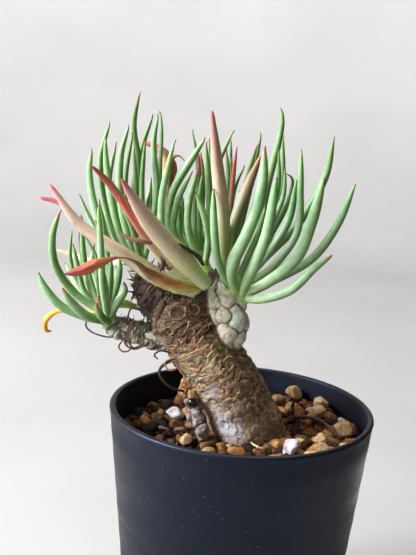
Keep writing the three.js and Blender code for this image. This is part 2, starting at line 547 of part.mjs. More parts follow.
// Colours and surfaces of the finished pieces
const LOOKS = {
  pot: { color: "#24262b", roughness: 0.55 },
  soil: { color: "#7a5236", roughness: 0.95 },
  caudex: { color: "#8f7a60", roughness: 0.9 },
  rosette: { color: "#9dbb97", roughness: 0.5 },
  old_leaf_broad: { color: "#b9a68c", roughness: 0.6 },
  old_leaf_upright: { color: "#c2ab94", roughness: 0.6 },
  old_leaf_olive: { color: "#7a7440", roughness: 0.6 },
  withered_leaf: { color: "#c98555", roughness: 0.6 },
  old_leaf_long: { color: "#a8936f", roughness: 0.6 },
  old_leaf_crimson: { color: "#a1563f", roughness: 0.6 },
  old_leaf_thin_red: { color: "#9c4a3a", roughness: 0.6 },
  old_leaf_red_hook: { color: "#b4544c", roughness: 0.6 },
  pale_pink_leaf: { color: "#e3cdbb", roughness: 0.6 },
  yellow_green_leaf: { color: "#a8b25a", roughness: 0.6 },
  yellow_curled_leaf: { color: "#d9b04a", roughness: 0.6 },
  dry_curl: { color: "#6b4a3a", roughness: 0.8 },
  papery_leaf: { color: "#a98f6c", roughness: 0.8 },
};

const plant = new THREE.Group();
plant.add(meshFrom(potSolid(), "pot", LOOKS.pot));
plant.add(meshFrom(mainBody(soilSolid()), "soil", LOOKS.soil));
plant.add(meshFrom(mainBody(caudexSolid()), "caudex", LOOKS.caudex));

// Each later piece is cut clear of the ones before it
let taken = caudexSolid(GAP);
for (const [name, rosette] of Object.entries(ROSETTES)) {
  plant.add(meshFrom(mainBody(rosetteSolid(rosette).subtract(taken)), name, LOOKS.rosette));
  taken = taken.add(rosetteSolid(rosette, GAP));
}
for (const [name, leaf] of Object.entries(SINGLE_LEAVES)) {
  plant.add(meshFrom(mainBody(singleLeafSolid(leaf).subtract(taken)), name, LOOKS[name]));
  taken = taken.add(singleLeafSolid(leaf, GAP));
}

export default plant;
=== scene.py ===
import itertools
import math

import bmesh
import bpy
import numpy as np
from mathutils import Matrix, Vector


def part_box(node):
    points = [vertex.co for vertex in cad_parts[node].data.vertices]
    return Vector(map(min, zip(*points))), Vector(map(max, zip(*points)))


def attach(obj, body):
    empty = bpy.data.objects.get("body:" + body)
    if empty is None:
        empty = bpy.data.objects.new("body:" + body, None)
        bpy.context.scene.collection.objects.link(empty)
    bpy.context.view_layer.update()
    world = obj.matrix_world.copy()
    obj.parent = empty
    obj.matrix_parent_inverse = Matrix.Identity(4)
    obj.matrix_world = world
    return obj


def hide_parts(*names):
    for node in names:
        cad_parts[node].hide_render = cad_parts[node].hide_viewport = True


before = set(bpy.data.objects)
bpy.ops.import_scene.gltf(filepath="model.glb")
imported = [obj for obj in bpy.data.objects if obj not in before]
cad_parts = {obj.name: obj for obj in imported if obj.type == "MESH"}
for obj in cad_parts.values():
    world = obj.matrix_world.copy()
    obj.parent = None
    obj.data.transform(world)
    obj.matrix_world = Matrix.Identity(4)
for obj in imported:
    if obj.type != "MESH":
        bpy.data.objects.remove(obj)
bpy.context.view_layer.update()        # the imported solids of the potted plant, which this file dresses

MM = 0.001


# Pot: a round nursery pot of black polypropylene, injection moulded with a fine matt grain.
# The wall leans in to a foot ring with four water notches, and the raised floor has six drain holes.
# The sizes are millimetres, as everywhere below; a finished mesh is in metres.
RIM_RADIUS = 37.5
POT_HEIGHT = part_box("pot")[1].z / MM
POT_TAPER = 0.104
POT_WALL = 1.8
LIP_ROUND = 0.8
FLOOR_TOP = 4.5
FLOOR_UNDERSIDE = 2.5
FOOT_RING_WIDTH = 3
FOOT_NOTCH_HALF_ANGLE = math.radians(6.9)
CENTRE_PAD_RADIUS = 6
DRAIN_HOLES = 6
DRAIN_HOLE_RADIUS = 3
DRAIN_HOLE_CIRCLE = 15
DRAIN_ZONE = (9, 21)
WALL_RIPPLE = 0.05
WALL_RIPPLE_SPACING = 7.6
POT_STEPS = 144
NO_TRIANGLES = np.zeros((0, 3), int)


def pot_radius(height):
    """Outer radius of the wall: it shrinks by the taper for each millimetre below the rim."""
    return RIM_RADIUS - POT_TAPER * (POT_HEIGHT - height)


def around(rings, closed=True):
    """Four-cornered faces between rings of points: a point, the next one round, and the two above them."""
    count, sides = rings
    index = np.arange(count * sides).reshape(count, sides)
    ahead = np.roll(index, -1, axis=1)
    faces = np.stack([index[:-1], ahead[:-1], ahead[1:], index[1:]], axis=-1)
    return (faces if closed else faces[:, :-1]).reshape(-1, 4)


def skin(rings, start=None, end=None, **traits):
    """Closed skin over rings of points, shape (pieces, rings, sides, 3). Each end is closed by a fan of
    triangles to its end point, which is the ring's middle unless one is given. Traits are numbers kept for
    each point."""
    pieces, count, sides = rings.shape[:3]
    first = rings[:, 0].mean(axis=1) if start is None else np.broadcast_to(start, (pieces, 3))
    last = rings[:, -1].mean(axis=1) if end is None else np.broadcast_to(end, (pieces, 3))
    points = np.concatenate([rings.reshape(pieces, -1, 3), first[:, None], last[:, None]], axis=1)
    side = np.arange(sides)
    ahead = np.roll(side, -1)
    first_fan = np.stack([np.full(sides, count * sides), ahead, side], axis=-1)
    top = (count - 1) * sides
    last_fan = np.stack([np.full(sides, count * sides + 1), top + side, top + ahead], axis=-1)
    offset = (np.arange(pieces) * (count * sides + 2))[:, None, None]
    made = {
        "points": points.reshape(-1, 3),
        "quads": (around((count, sides)) + offset).reshape(-1, 4),
        "triangles": (np.concatenate([first_fan, last_fan]) + offset).reshape(-1, 3),
    }
    for name, value in traits.items():
        ringed = np.broadcast_to(value, rings.shape[:3])
        ends = np.stack([ringed[:, 0].mean(axis=1), ringed[:, -1].mean(axis=1)], axis=1)
        made[name] = np.concatenate([ringed.reshape(pieces, -1), ends], axis=1).ravel()
    return made


def together(skins):
    """Several skins as one: their points in a row, and each one's faces counted on from those before it."""
    starts = np.cumsum([0] + [len(part["points"]) for part in skins])
    made = {}
    for name in skins[0]:
        move = starts if name in ("quads", "triangles") else np.zeros(len(skins), int)
        made[name] = np.concatenate([part[name] + move[i] for i, part in enumerate(skins)])
    return made


def welded(made):
    """The same skin with the points that lie within a micrometre of each other made one."""
    keys = np.round(made["points"] / 0.001).astype(np.int64)
    _, first, back = np.unique(keys, axis=0, return_index=True, return_inverse=True)
    back = back.ravel()
    return {"points": made["points"][first], "quads": back[made["quads"]],
            "triangles": back[made["triangles"]]}


def new_piece(name, made, material):
    """A mesh object from a skin in millimetres, with its traits as attributes of its points."""
    mesh = bpy.data.meshes.new(name)
    faces = made["quads"].tolist() + made["triangles"].tolist()
    mesh.from_pydata((made["points"] * MM).tolist(), [], faces)
    mesh.shade_smooth()
    for trait in made:
        if trait not in ("points", "quads", "triangles"):
            values = mesh.attributes.new(trait, "FLOAT", "POINT").data
            values.foreach_set("value", made[trait].astype(np.float32))
    mesh.materials.append(material)
    piece = bpy.data.objects.new(name, mesh)
    bpy.context.scene.collection.objects.link(piece)
    return piece


def polar(reach, angle):
    """Flat places at a reach from the middle and an angle round it."""
    return np.stack([reach * np.cos(angle), reach * np.sin(angle)], axis=-1)


def raised(flat, height):
    """Flat places lifted to a height, or each to its own."""
    return np.concatenate([flat, np.broadcast_to(height, flat.shape[:-1])[..., None]], axis=-1)


def spun(first, second, angle):
    """Two coordinates turned by an angle, in the plane that they span."""
    return first * np.cos(angle) - second * np.sin(angle), first * np.sin(angle) + second * np.cos(angle)


def one_long(ways):
    """Directions made one long."""
    return ways / np.maximum(np.linalg.norm(ways, axis=-1, keepdims=True), 1e-12)


def turned(profile):
    """Rings of a turned shape: each profile point (radius, height) is carried round the pot's axis."""
    radius, height = np.asarray(profile, float).T
    return raised(polar(radius[:, None], np.arange(POT_STEPS) * 2 * np.pi / POT_STEPS), height[:, None])


def arc(middle, radius, start, stop, steps=6):
    """Profile points on an arc round the middle, from the start angle to the stop angle in degrees."""
    return np.asarray(middle) + polar(radius, np.radians(np.linspace(start, stop, steps)))


def open_sheet(rings):
    """A sheet through the rings, with both ends left open for its neighbours."""
    return {"points": rings.reshape(-1, 3), "quads": around(rings.shape[:2]), "triangles": NO_TRIANGLES}


def wall_and_lip():
    """Profile from the underside out over the foot ring, up the wall, over the lip and down to the floor."""
    heights = np.concatenate([np.linspace(1, POT_HEIGHT - 2.5, 46), [POT_HEIGHT - 1.6]])
    fade = np.clip((POT_HEIGHT - 2.5 - heights) / 4, 0, 1)
    ripple = WALL_RIPPLE * fade * np.cos(2 * np.pi * (POT_HEIGHT - heights) / WALL_RIPPLE_SPACING)
    wall = np.stack([pot_radius(heights) - WALL_RIPPLE + ripple, heights], axis=-1)
    foot = pot_radius(0)
    ring = foot - FOOT_RING_WIDTH
    inside = np.linspace(POT_HEIGHT - LIP_ROUND - 0.6, FLOOR_TOP + 1, 24)
    return np.concatenate([
        [[DRAIN_ZONE[1], FLOOR_UNDERSIDE], [ring, FLOOR_UNDERSIDE], [ring + 0.1, FLOOR_UNDERSIDE - 0.1]],
        [[ring + 0.5, 0.15], [ring + 0.7, 0], [foot - 0.7, 0], [foot - 0.35, 0.1], [foot - 0.1, 0.4]],
        wall,
        arc((RIM_RADIUS - LIP_ROUND, POT_HEIGHT - LIP_ROUND), LIP_ROUND, 0, 90),
        arc((RIM_RADIUS - POT_WALL + LIP_ROUND, POT_HEIGHT - LIP_ROUND), LIP_ROUND, 90, 180),
        np.stack([pot_radius(inside) - POT_WALL, inside], axis=-1),
        arc((pot_radius(FLOOR_TOP) - POT_WALL - 1, FLOOR_TOP + 1), 1, 0, -90, 4),
        [[DRAIN_ZONE[1], FLOOR_TOP]],
    ])


def notched(rings):
    """Lifts the foot ring's face within four notches, which lie between the axes."""
    angle = np.arctan2(rings[..., 1], rings[..., 0])
    from_notch = np.abs((angle % (np.pi / 2)) - np.pi / 4)
    lifted = np.where(from_notch < FOOT_NOTCH_HALF_ANGLE, np.maximum(rings[..., 2], 1.5), rings[..., 2])
    return raised(rings[..., :2], lifted)


def drain_zone(hole):
    """A hole's share of the floor's ring of holes: a sheet from the share's border in to the hole's edge on
    the top face, down the hole, and back out to the border on the underside."""
    inner, outer = DRAIN_ZONE
    half = 180 / DRAIN_HOLES
    arched = np.radians(np.linspace(-half, half, POT_STEPS // DRAIN_HOLES + 1))
    straight = np.linspace(outer, inner, 9)[1:-1]
    reach = np.concatenate([np.full_like(arched, outer), straight,
                            np.full_like(arched, inner), straight[::-1]])
    turn = np.concatenate([arched, np.full_like(straight, arched[-1]), arched[::-1],
                           np.full_like(straight, arched[0])])
    border = polar(reach, turn)
    middle = (DRAIN_HOLE_CIRCLE, 0)
    edge = middle + DRAIN_HOLE_RADIUS * one_long(border - middle)
    flat = np.stack([border, edge, edge, border])
    height = np.array([FLOOR_TOP, FLOOR_TOP, FLOOR_UNDERSIDE, FLOOR_UNDERSIDE])[:, None]
    placed = np.stack(spun(flat[..., 0], flat[..., 1], hole * 2 * np.pi / DRAIN_HOLES), axis=-1)
    return open_sheet(raised(placed, height))


def centre_of_floor():
    """The floor inside the drain holes: a disc on top, and below it a disc with the flat pad in its
    middle."""
    pad = [(CENTRE_PAD_RADIUS, 0), (CENTRE_PAD_RADIUS + 0.6, FLOOR_UNDERSIDE),
           (DRAIN_ZONE[0], FLOOR_UNDERSIDE)]
    top = [(DRAIN_ZONE[0], FLOOR_TOP), (4, FLOOR_TOP)]
    below = skin(turned(pad)[None], start=(0, 0, 0))
    above = skin(turned(top)[None], end=(0, 0, FLOOR_TOP))
    below["triangles"] = below["triangles"][:POT_STEPS]
    above["triangles"] = above["triangles"][POT_STEPS:]
    return [below, above]


def linear(code):
    """An sRGB hex colour as the linear red, green, blue and alpha that a shader works in."""
    parts = [int(code[i:i + 2], 16) / 255 for i in (1, 3, 5)]
    return [p / 12.92 if p <= 0.04045 else ((p + 0.055) / 1.055) ** 2.4 for p in parts] + [1]


def add_node(tree, kind, **settings):
    """Adds a shader node. A setting is a property of the node, the stops of its ramp, or an input by its name
    (with _ for a space) or number (in_0), as a constant, a hex colour or an earlier node's socket."""
    node = tree.nodes.new("ShaderNode" + kind)
    for name, value in settings.items():
        if name == "stops":
            colours = node.color_ramp.elements
            while len(colours) < len(value):
                colours.new(0.5)
            for stop, (place, code) in zip(colours, value):
                stop.position = place
                stop.color = linear(code)
        elif hasattr(node, name):
            setattr(node, name, value)
        else:
            socket = node.inputs[int(name[3:]) if name.startswith("in_") else name.replace("_", " ")]
            if isinstance(value, bpy.types.NodeSocket):
                tree.links.new(value, socket)
            else:
                socket.default_value = linear(value) if isinstance(value, str) else value
    return node


def new_material(name):
    """A material with an empty tree, and in it the place on the piece, in metres, that patterns follow."""
    material = bpy.data.materials.new(name)
    material.use_nodes = True
    tree = material.node_tree
    tree.nodes.clear()
    return material, tree, add_node(tree, "TexCoord").outputs["Object"]


def finished(material, **settings):
    """The material, once its tree ends in the shader with these settings, joined to the output."""
    surface = add_node(material.node_tree, "BsdfPrincipled", **settings)
    output = add_node(material.node_tree, "OutputMaterial")
    material.node_tree.links.new(surface.outputs[0], output.inputs[0])
    return material


def trait_of(tree, name):
    """A trait of the piece's points, by its name."""
    return add_node(tree, "Attribute", attribute_name=name).outputs["Fac"]


def mottling(tree, place, size, detail, **settings):
    """Smooth random patches with values from 0 to 1, about this many millimetres across."""
    scale = 1 / (size * MM)
    return add_node(tree, "TexNoise", Vector=place, Scale=scale, Detail=detail, **settings).outputs[0]


def worked(tree, operation, one, other, held=False):
    """Two values added, subtracted, multiplied or divided, and kept between 0 and 1 where held."""
    return add_node(tree, "Math", operation=operation, use_clamp=held, in_0=one, in_1=other).outputs[0]


def scaled(tree, value, factor, start=0.0, held=False):
    """The value times the factor plus the start, and kept between 0 and 1 where held."""
    return add_node(tree, "Math", operation="MULTIPLY_ADD", use_clamp=held, in_0=value, in_1=factor,
                    in_2=start).outputs[0]


def span(tree, value, low, high, start=0.0, end=1.0):
    """The value's way from low to high as a way from start to end, which it keeps to outside."""
    return add_node(tree, "MapRange", Value=value, From_Min=low, From_Max=high, To_Min=start,
                    To_Max=end).outputs[0]


def ramp(tree, share, stops):
    """The colour that a row of colours, each at its place from 0 to 1, has at the share."""
    return add_node(tree, "ValToRGB", Fac=share, stops=stops).outputs[0]


def over(tree, below, above, share=1.0, blend_type="MIX"):
    """Lays one colour over another by a share from 0 to 1, or multiplies the two."""
    return add_node(tree, "Mix", data_type="RGBA", blend_type=blend_type, in_0=share, in_6=below,
                    in_7=above).outputs[2]


def relief(tree, height, strength, depth):
    """Relief too fine for the mesh, this many millimetres deep."""
    return add_node(tree, "Bump", Height=height, Strength=strength, Distance=depth * MM).outputs[0]


def matt_polypropylene():
    """Black polypropylene from a spark-eroded mould: a soft bluish sheen broken up by a 0.25 mm grain,
    fainter and clearer patches from handling, and specks of pale dust about 0.3 mm across. How shiny it is
    changes in narrow streaks down the wall and in bands round it."""
    material, tree, place = new_material("matt polypropylene")
    grain = mottling(tree, place, 0.25, 2.0)
    handled = mottling(tree, place, 14, 3.0, Roughness=0.6)
    body = ramp(tree, handled, [(0.3, "#040406"), (0.7, "#08090d")])
    powdered = over(tree, body, "#2c3344", span(tree, grain, 0.55, 0.75, 0.0, 0.5))
    dust = add_node(tree, "TexVoronoi", Vector=place, Scale=1 / (1.3 * MM), Randomness=1.0)
    speck = span(tree, dust.outputs["Distance"], 0.14, 0.07)
    chance = worked(tree, "SUBTRACT", dust.outputs["Color"], span(tree, handled, 0.35, 0.7, 0.5, -0.02))
    dusty = worked(tree, "MULTIPLY", speck, span(tree, chance, 0.42, 0.5))
    colour = over(tree, powdered, "#8f97a6", worked(tree, "MULTIPLY", dusty, 0.35))
    streak_place = add_node(tree, "Mapping", Vector=place, Scale=(1, 1, 0.12)).outputs[0]
    rib_place = add_node(tree, "Mapping", Vector=place, Scale=(0.04, 0.04, 1)).outputs[0]
    banded = scaled(tree, mottling(tree, rib_place, 8, 1.0), 0.85, -0.08)
    wear = scaled(tree, mottling(tree, streak_place, 1.6, 3.0), 0.2, banded)
    return finished(material, Base_Color=colour, Roughness=wear, Normal=relief(tree, grain, 0.35, 0.03),
                    Specular_IOR_Level=0.4, Specular_Tint=linear("#bccbf4"), IOR=1.49)


pot_skin = welded(together([
    open_sheet(notched(turned(wall_and_lip()))),
    *[drain_zone(hole) for hole in range(DRAIN_HOLES)],
    *centre_of_floor(),
]))
pot = new_piece("moulded_pot", pot_skin, matt_polypropylene())
pot.data.set_sharp_from_angle(angle=math.radians(50))
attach(pot, "root")
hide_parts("pot")


# Growing medium: fired clay granules sieved to 3 to 6 mm over finer grit, with tan pebbles and lumps of
# white pumice. It fills the pot from its floor, and the granules lie where the solid's relief has them.
SOIL_LEVEL = 65.2
SOIL_SLOPE = 0.03
GRANULES = 170
GRANULE_RADIUS = 2.7
GRIT = 800
BED_STEPS = 120
BED_UNDERSIDE = FLOOR_TOP + 0.3
# Left of here the granules and grit are painted darker, as painted shade from the pot's wall
PAINTED_SHADE_SIDE = -7
GOLDEN_ANGLE = math.pi * (3 - math.sqrt(5))
BED_RADIUS = pot_radius(SOIL_LEVEL) - POT_WALL - 0.4
TRUNK_IN_SOIL = np.array([2.3, -2.0])
TRUNK_RADIUS_IN_SOIL = 9.9
ROOT_TIP = (5, -2, 27.5)
TAN_PEBBLES = [
    [11, 21.5, 2.2], [16, 27.5, 2.5], [24, 20, 2.3], [22.5, 10, 3], [29.5, -3, 3], [16.5, -13, 1.9],
    [22.5, -9.5, 2.2], [14.5, 14, 2.1], [19.5, -21, 2], [22.5, -16, 2], [-8, -23, 2], [-21, -18, 1.9],
    [-14, -24, 1.9], [-13, 5.5, 2], [-14.5, -14, 2],
]
PUMICE_LUMPS = [[-19, 4.5, 2.5], [14, -18, 2.8], [29.5, 7.5, 1.2]]


def seeded_random(seed):
    """The same run of numbers from 0 to 1 as the solid's relief is made with: a linear congruence."""
    state = seed
    while True:
        state = (state * 1664525 + 1013904223) % 4294967296
        yield state / 4294967296


def noise(points, cell, seed=0):
    """Smooth random field from about -1 to 1: a random slope at each corner of a grid of cubes of that size,
    and between the corners their heights blended by 6t^5 - 15t^4 + 10t^3."""
    place = points / cell
    corner = np.floor(place).astype(np.int64)
    share = place - corner
    fade = share ** 3 * (share * (share * 6 - 15) + 10)
    total = np.zeros(len(points))
    for step in itertools.product((0, 1), repeat=3):
        key = (corner + step) @ np.array([73856093, 19349663, 83492791]) + (seed + 1) * 2654435761
        key = ((key ^ (key >> 13)) * 1274126177) & 0xFFFFFFFF
        key = ((key ^ (key >> 15)) * 2246822519) & 0xFFFFFFFF
        slope = np.stack([key & 1023, (key >> 10) & 1023, (key >> 20) & 1023], axis=-1) / 511.5 - 1
        weight = np.prod(np.where(step, fade, 1 - fade), axis=1)
        total += weight * ((share - step) * slope).sum(axis=1)
    return 1.6 * total


def bed_level(x, y):
    """Height of the bed under its granules: it rises a little to the right, with gentle unevenness."""
    return SOIL_LEVEL - 1.4 + SOIL_SLOPE * x + 0.4 * np.sin(0.21 * x + 1) * np.cos(0.17 * y)


def bed_skin():
    """The bed as one closed skin: from the middle of the pot's floor out and up beside the wall, in over
    the top, and down the well that the root fills to the root's tip."""
    round_it = polar(1, np.arange(BED_STEPS) * 2 * np.pi / BED_STEPS)
    rings = [raised(2 * round_it, BED_UNDERSIDE)]
    for height in (BED_UNDERSIDE, 40):
        rings.append(raised((pot_radius(height) - POT_WALL - 0.35) * round_it, height))
    well = TRUNK_IN_SOIL + (TRUNK_RADIUS_IN_SOIL + 0.2) * round_it
    for share in np.linspace(1, 0.02, 44):
        flat = well * (1 - share) + BED_RADIUS * round_it * share
        height = bed_level(flat[:, 0], flat[:, 1])
        crumb = 0.35 * noise(raised(flat, height), 1.1, 3)
        rings.append(raised(flat, height + crumb))
    for share in np.linspace(1, 0.05, 6):
        middle = (1 - share) * np.array(ROOT_TIP[:2]) + share * TRUNK_IN_SOIL
        height = ROOT_TIP[2] + share * (SOIL_LEVEL - 1.6 - ROOT_TIP[2])
        flat = middle + share ** 0.5 * (TRUNK_RADIUS_IN_SOIL + 0.2) * round_it
        rings.append(raised(flat, height))
    # The bed gets the darkest hue: partly the fine soil's own colour, partly painted shade in the gaps
    # between granules
    return skin(np.array(rings)[None], start=(0, 0, BED_UNDERSIDE), end=ROOT_TIP, hue=-0.3, tan=0.0)


def ball(divisions):
    """Points and triangles of a ball of radius 1 made by dividing an icosahedron."""
    work = bmesh.new()
    bmesh.ops.create_icosphere(work, subdivisions=divisions, radius=1)
    points = np.array([point.co[:] for point in work.verts])
    triangles = np.array([[point.index for point in face.verts] for face in work.faces])
    work.free()
    return points, triangles


def stones(middles, radii, divisions, seed, lumpy, hue, tan):
    """Stones: balls whose radius swells and shrinks with smooth noise, broken flat where a few random
    planes cut them, stretched, tipped and turned at random. hue runs from dark to light, and tan from fired
    clay to pale river pebble."""
    random = np.random.default_rng(seed)
    count = len(middles)
    unit, triangles = ball(divisions)
    apart = 37.0 * np.arange(count)[:, None, None]
    field = (unit[None] + apart).reshape(-1, 3)
    swell = 1.06 + lumpy * noise(field, 1.1, seed) + 0.5 * lumpy * noise(field, 0.45, seed + 1)
    broken = unit[None] * swell.reshape(count, -1, 1)
    for _ in range(7):
        plane = one_long(random.normal(size=(count, 1, 3)))
        past = (broken * plane).sum(axis=2, keepdims=True) - random.uniform(0.62, 0.95, (count, 1, 1))
        broken = broken - np.maximum(past, 0) * plane
    shaped = broken * radii[:, None, :]
    spin = random.uniform(0, 2 * np.pi, count)[:, None]
    tip = random.normal(0, 0.35, count)[:, None]
    y, z = spun(shaped[..., 1], shaped[..., 2], tip)
    x, y = spun(shaped[..., 0], y, spin)
    points = np.stack([x, y, z], axis=-1) + middles[:, None]
    offset = (np.arange(count) * len(unit))[:, None, None]
    return {
        "points": points.reshape(-1, 3),
        "quads": np.zeros((0, 4), int),
        "triangles": (triangles[None] + offset).reshape(-1, 3),
        "hue": np.repeat(hue, len(unit)),
        "tan": np.repeat(tan, len(unit)),
    }


def clear_of_trunk(flat, size):
    """Pushes stones out from the trunk's axis until they only just touch its bark."""
    out = flat - TRUNK_IN_SOIL
    away = np.linalg.norm(out, axis=1, keepdims=True)
    least = TRUNK_RADIUS_IN_SOIL + 0.55 * size[:, None]
    return np.where(away < least, TRUNK_IN_SOIL + out / np.maximum(away, 0.01) * least, flat), away[:, 0] > 6


def granules():
    """Granules in a sunflower spiral: each is at the golden angle from the last, at a radius that grows
    with the square root of its number, loosened by the same random numbers as in the solid."""
    numbers = seeded_random(7)
    drawn = np.array([[next(numbers), next(numbers)] for _ in range(GRANULES)])
    reach = BED_RADIUS * np.sqrt((np.arange(GRANULES) + drawn[:, 0]) / GRANULES)
    angle = np.arange(GRANULES) * GOLDEN_ANGLE
    size = 0.7 + 0.6 * drawn[:, 1]
    flat, shown = clear_of_trunk(polar(reach, angle), size * 2.2)
    reach = np.linalg.norm(flat, axis=1)
    flat = flat * (1 - np.maximum(reach + 2.1 * size - BED_RADIUS, 0) / reach)[:, None]
    random = np.random.default_rng(5)
    middles = raised(flat, bed_level(*flat.T) + 0.1)
    radii = size[:, None] * np.array([GRANULE_RADIUS * 0.86, GRANULE_RADIUS * 0.74, 1.85])
    hue = np.where(random.random(GRANULES) < 0.4, random.uniform(0, 0.25, GRANULES),
                   random.uniform(0.25, 0.85, GRANULES))
    # Granules at the left are painted darker here: painted shade from the pot's wall
    hue = hue - 0.2 * (flat[:, 0] < PAINTED_SHADE_SIDE)
    tan = (random.random(GRANULES) < 0.12) * 0.7
    return stones(middles[shown], radii[shown], 3, 21, 0.4, hue[shown], tan[shown])


def grit():
    """Finer clay between the granules, spread evenly over the disc of the bed and bedded in by half."""
    random = np.random.default_rng(9)
    reach = (BED_RADIUS - 0.8) * np.sqrt(random.random(GRIT))
    angle = random.uniform(0, 2 * np.pi, GRIT)
    size = random.uniform(0.45, 1.25, GRIT)
    flat, shown = clear_of_trunk(polar(reach, angle), size)
    lift = random.uniform(0, 1.5, GRIT)
    middles = raised(flat, bed_level(*flat.T) + lift * (1.3 - size))
    radii = size[:, None] * random.uniform(0.7, 1.1, (GRIT, 3))
    # Grit at the left is painted darker as well: painted shade from the pot's wall
    hue = random.uniform(-0.1, 0.65, GRIT) - 0.15 * (flat[:, 0] < PAINTED_SHADE_SIDE)
    return stones(middles[shown], radii[shown], 2, 31, 0.4, hue[shown], np.zeros(shown.sum()))


def large_stones(places, seed, lumpy, hue, tan):
    """The larger stones that lie on the bed, at the places and with the radii of the solid's."""
    random = np.random.default_rng(seed)
    places = np.array(places, float)
    size = places[:, 2]
    middles = raised(places[:, :2], SOIL_LEVEL + SOIL_SLOPE * places[:, 0] + 0.68 * size)
    radii = size[:, None] * np.column_stack([
        random.uniform(0.95, 1.08, len(size)), random.uniform(0.78, 0.95, len(size)),
        random.uniform(0.7, 0.85, len(size))])
    return stones(middles, radii, 4, seed, lumpy, np.array(hue), np.full(len(size), tan))


def fired_clay():
    """Fired clay granules, broken and sieved: porous, quite matt, ochre to red brown, some granules dark, and
    all painted darker at the left as painted shade from the pot's wall. Pores are 0.4 mm, and a paler dust
    lies in blotches of 1.5 mm."""
    material, tree, place = new_material("fired clay granules")
    blotch = mottling(tree, place, 1.5, 4.0, Roughness=0.65)
    pores = mottling(tree, place, 0.4, 3.0, Roughness=0.6)
    shade = worked(tree, "ADD", trait_of(tree, "hue"), scaled(tree, blotch, 0.9, -0.45))
    clay = ramp(tree, shade, [(0.0, "#150b06"), (0.25, "#361f0e"), (0.5, "#6e4424"), (0.75, "#996838"),
                              (1.0, "#bd915f")])
    pebble = ramp(tree, shade, [(0.1, "#5f4930"), (0.5, "#9a7c56"), (0.95, "#cbb18b")])
    colour = over(tree, clay, pebble, trait_of(tree, "tan"))
    pitted = over(tree, colour, span(tree, pores, 0.3, 0.6, 0.55), blend_type="MULTIPLY")
    return finished(material, Base_Color=pitted, Roughness=0.92, Normal=relief(tree, pores, 0.7, 0.25),
                    Specular_IOR_Level=0.2)


def pumice():
    """White pumice: glassy foam, matt and faintly see-through, with 0.5 mm bubbles and pinkish dust in them.
    The lumps by the trunk are greyer with soil."""
    material, tree, place = new_material("white pumice")
    stain = mottling(tree, place, 2.2, 3.0)
    white = ramp(tree, stain, [(0.3, "#7f7473"), (0.5, "#aaa3a4"), (0.7, "#c6c2c4")])
    soiled = ramp(tree, stain, [(0.3, "#3b3230"), (0.5, "#7b706c"), (0.7, "#a09894")])
    bubbles = add_node(tree, "TexVoronoi", Vector=place, Scale=1 / (0.5 * MM)).outputs["Distance"]
    return finished(material, Base_Color=over(tree, soiled, white, trait_of(tree, "hue")), Roughness=0.85,
                    Normal=relief(tree, bubbles, 0.5, 0.2), Subsurface_Weight=0.15,
                    Subsurface_Radius=(1, 0.8, 0.7), Subsurface_Scale=0.8 * MM)


clay = fired_clay()
pebble_hues = np.random.default_rng(3).uniform(0.35, 0.9, len(TAN_PEBBLES))
bed = new_piece("soil_bed", bed_skin(), clay)
clay_granules = new_piece("clay_granules", together([granules(), grit()]), clay)
tan_pebbles = new_piece("tan_pebbles", large_stones(TAN_PEBBLES, 12, 0.16, pebble_hues, 0.85), clay)
pumice_lumps = new_piece("pumice_lumps", large_stones(PUMICE_LUMPS, 14, 0.24, [0.6, 0.95, 0.7], 1.0),
                         pumice())
for piece in (bed, clay_granules, tan_pebbles, pumice_lumps):
    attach(piece, "root")
    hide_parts("soil")


# Caudex: the plant's swollen, leaning trunk with its branches and the root that holds it in the pot. Corky
# bark, grown: brown and peeling in arcs on the trunk, grey and knobbly where leaves fell on the branches.
# Each stretch is a path of centres with the radius at each, nearly the same as in the solid.
TRUNK = {
    "path": [[4, -2, 59], [2, -2, 65.5], [-1.5, -2, 74], [-6.5, -3, 82.5], [-11.5, -3, 88.5],
             [-16.5, -3, 94.5], [-20, -3, 99.5], [-21, -3, 103.5]],
    "girths": [9.4, 9.9, 9.5, 9.2, 9.0, 8.5, 7.5, 4.6],
}
ROOT = {"path": [[4, -2, 64], [5, -2, 50], [5, -2, 28]], "girths": [8.6, 8, 5]}
ROOT_FLARE = {"path": [[4.5, -3, 76], [8.2, -4, 69.5], [10.3, -4, 63.5]], "girths": [3.4, 3.8, 3.3]}
KNOTTED_ROOT = {
    "path": [[-15.5, -5, 80.5], [-14.8, -6.5, 77], [-13.2, -7.5, 74.2], [-12.4, -8, 71], [-10.6, -9.5, 67.8],
             [-9.5, -9, 62]],
    "girths": [1.8, 2.4, 2.2, 2.2, 2.2, 1.8],
}
RIGHT_BRANCH = {
    "path": [[-7, -3, 86], [-5, -4, 95], [-5.3, -4, 100.5], [-6.5, -4, 106]],
    "girths": [5, 5.3, 5.3, 4.3],
}
RIGHT_CROWN_STUB = {"path": [[-5, -4, 100], [-3, -4, 105]], "girths": [4.2, 3]}
OLD_LEAF_STUB = {"path": [[-7, -4, 101], [-11, -5, 104.5], [-13, -7.5, 106.5]], "girths": [4, 3.2, 2.2]}
MIDDLE_STUB = {"path": [[-9, -3, 102], [-11.5, 0, 106], [-12, 2.5, 109]], "girths": [3, 2.4, 2]}
UPRIGHT_LEAF_STUB = {"path": [[-6, -3, 102], [-8, -1.5, 107], [-9.7, 0, 111.5]], "girths": [3.6, 2.8, 1.7]}
CENTRE_LEFT_STUB = {
    "path": [[-20, -2, 97], [-25.5, -1, 102], [-28.5, 1, 105.5], [-29.5, 2.5, 108.5]],
    "girths": [6, 5.4, 4, 2.8],
}
LEFT_BRANCH = {
    "path": [[-18, -4, 90.5], [-26, -4.5, 92], [-33, -5, 93], [-38, -5, 94.5]],
    "girths": [3.8, 3.4, 3.1, 2.5],
}
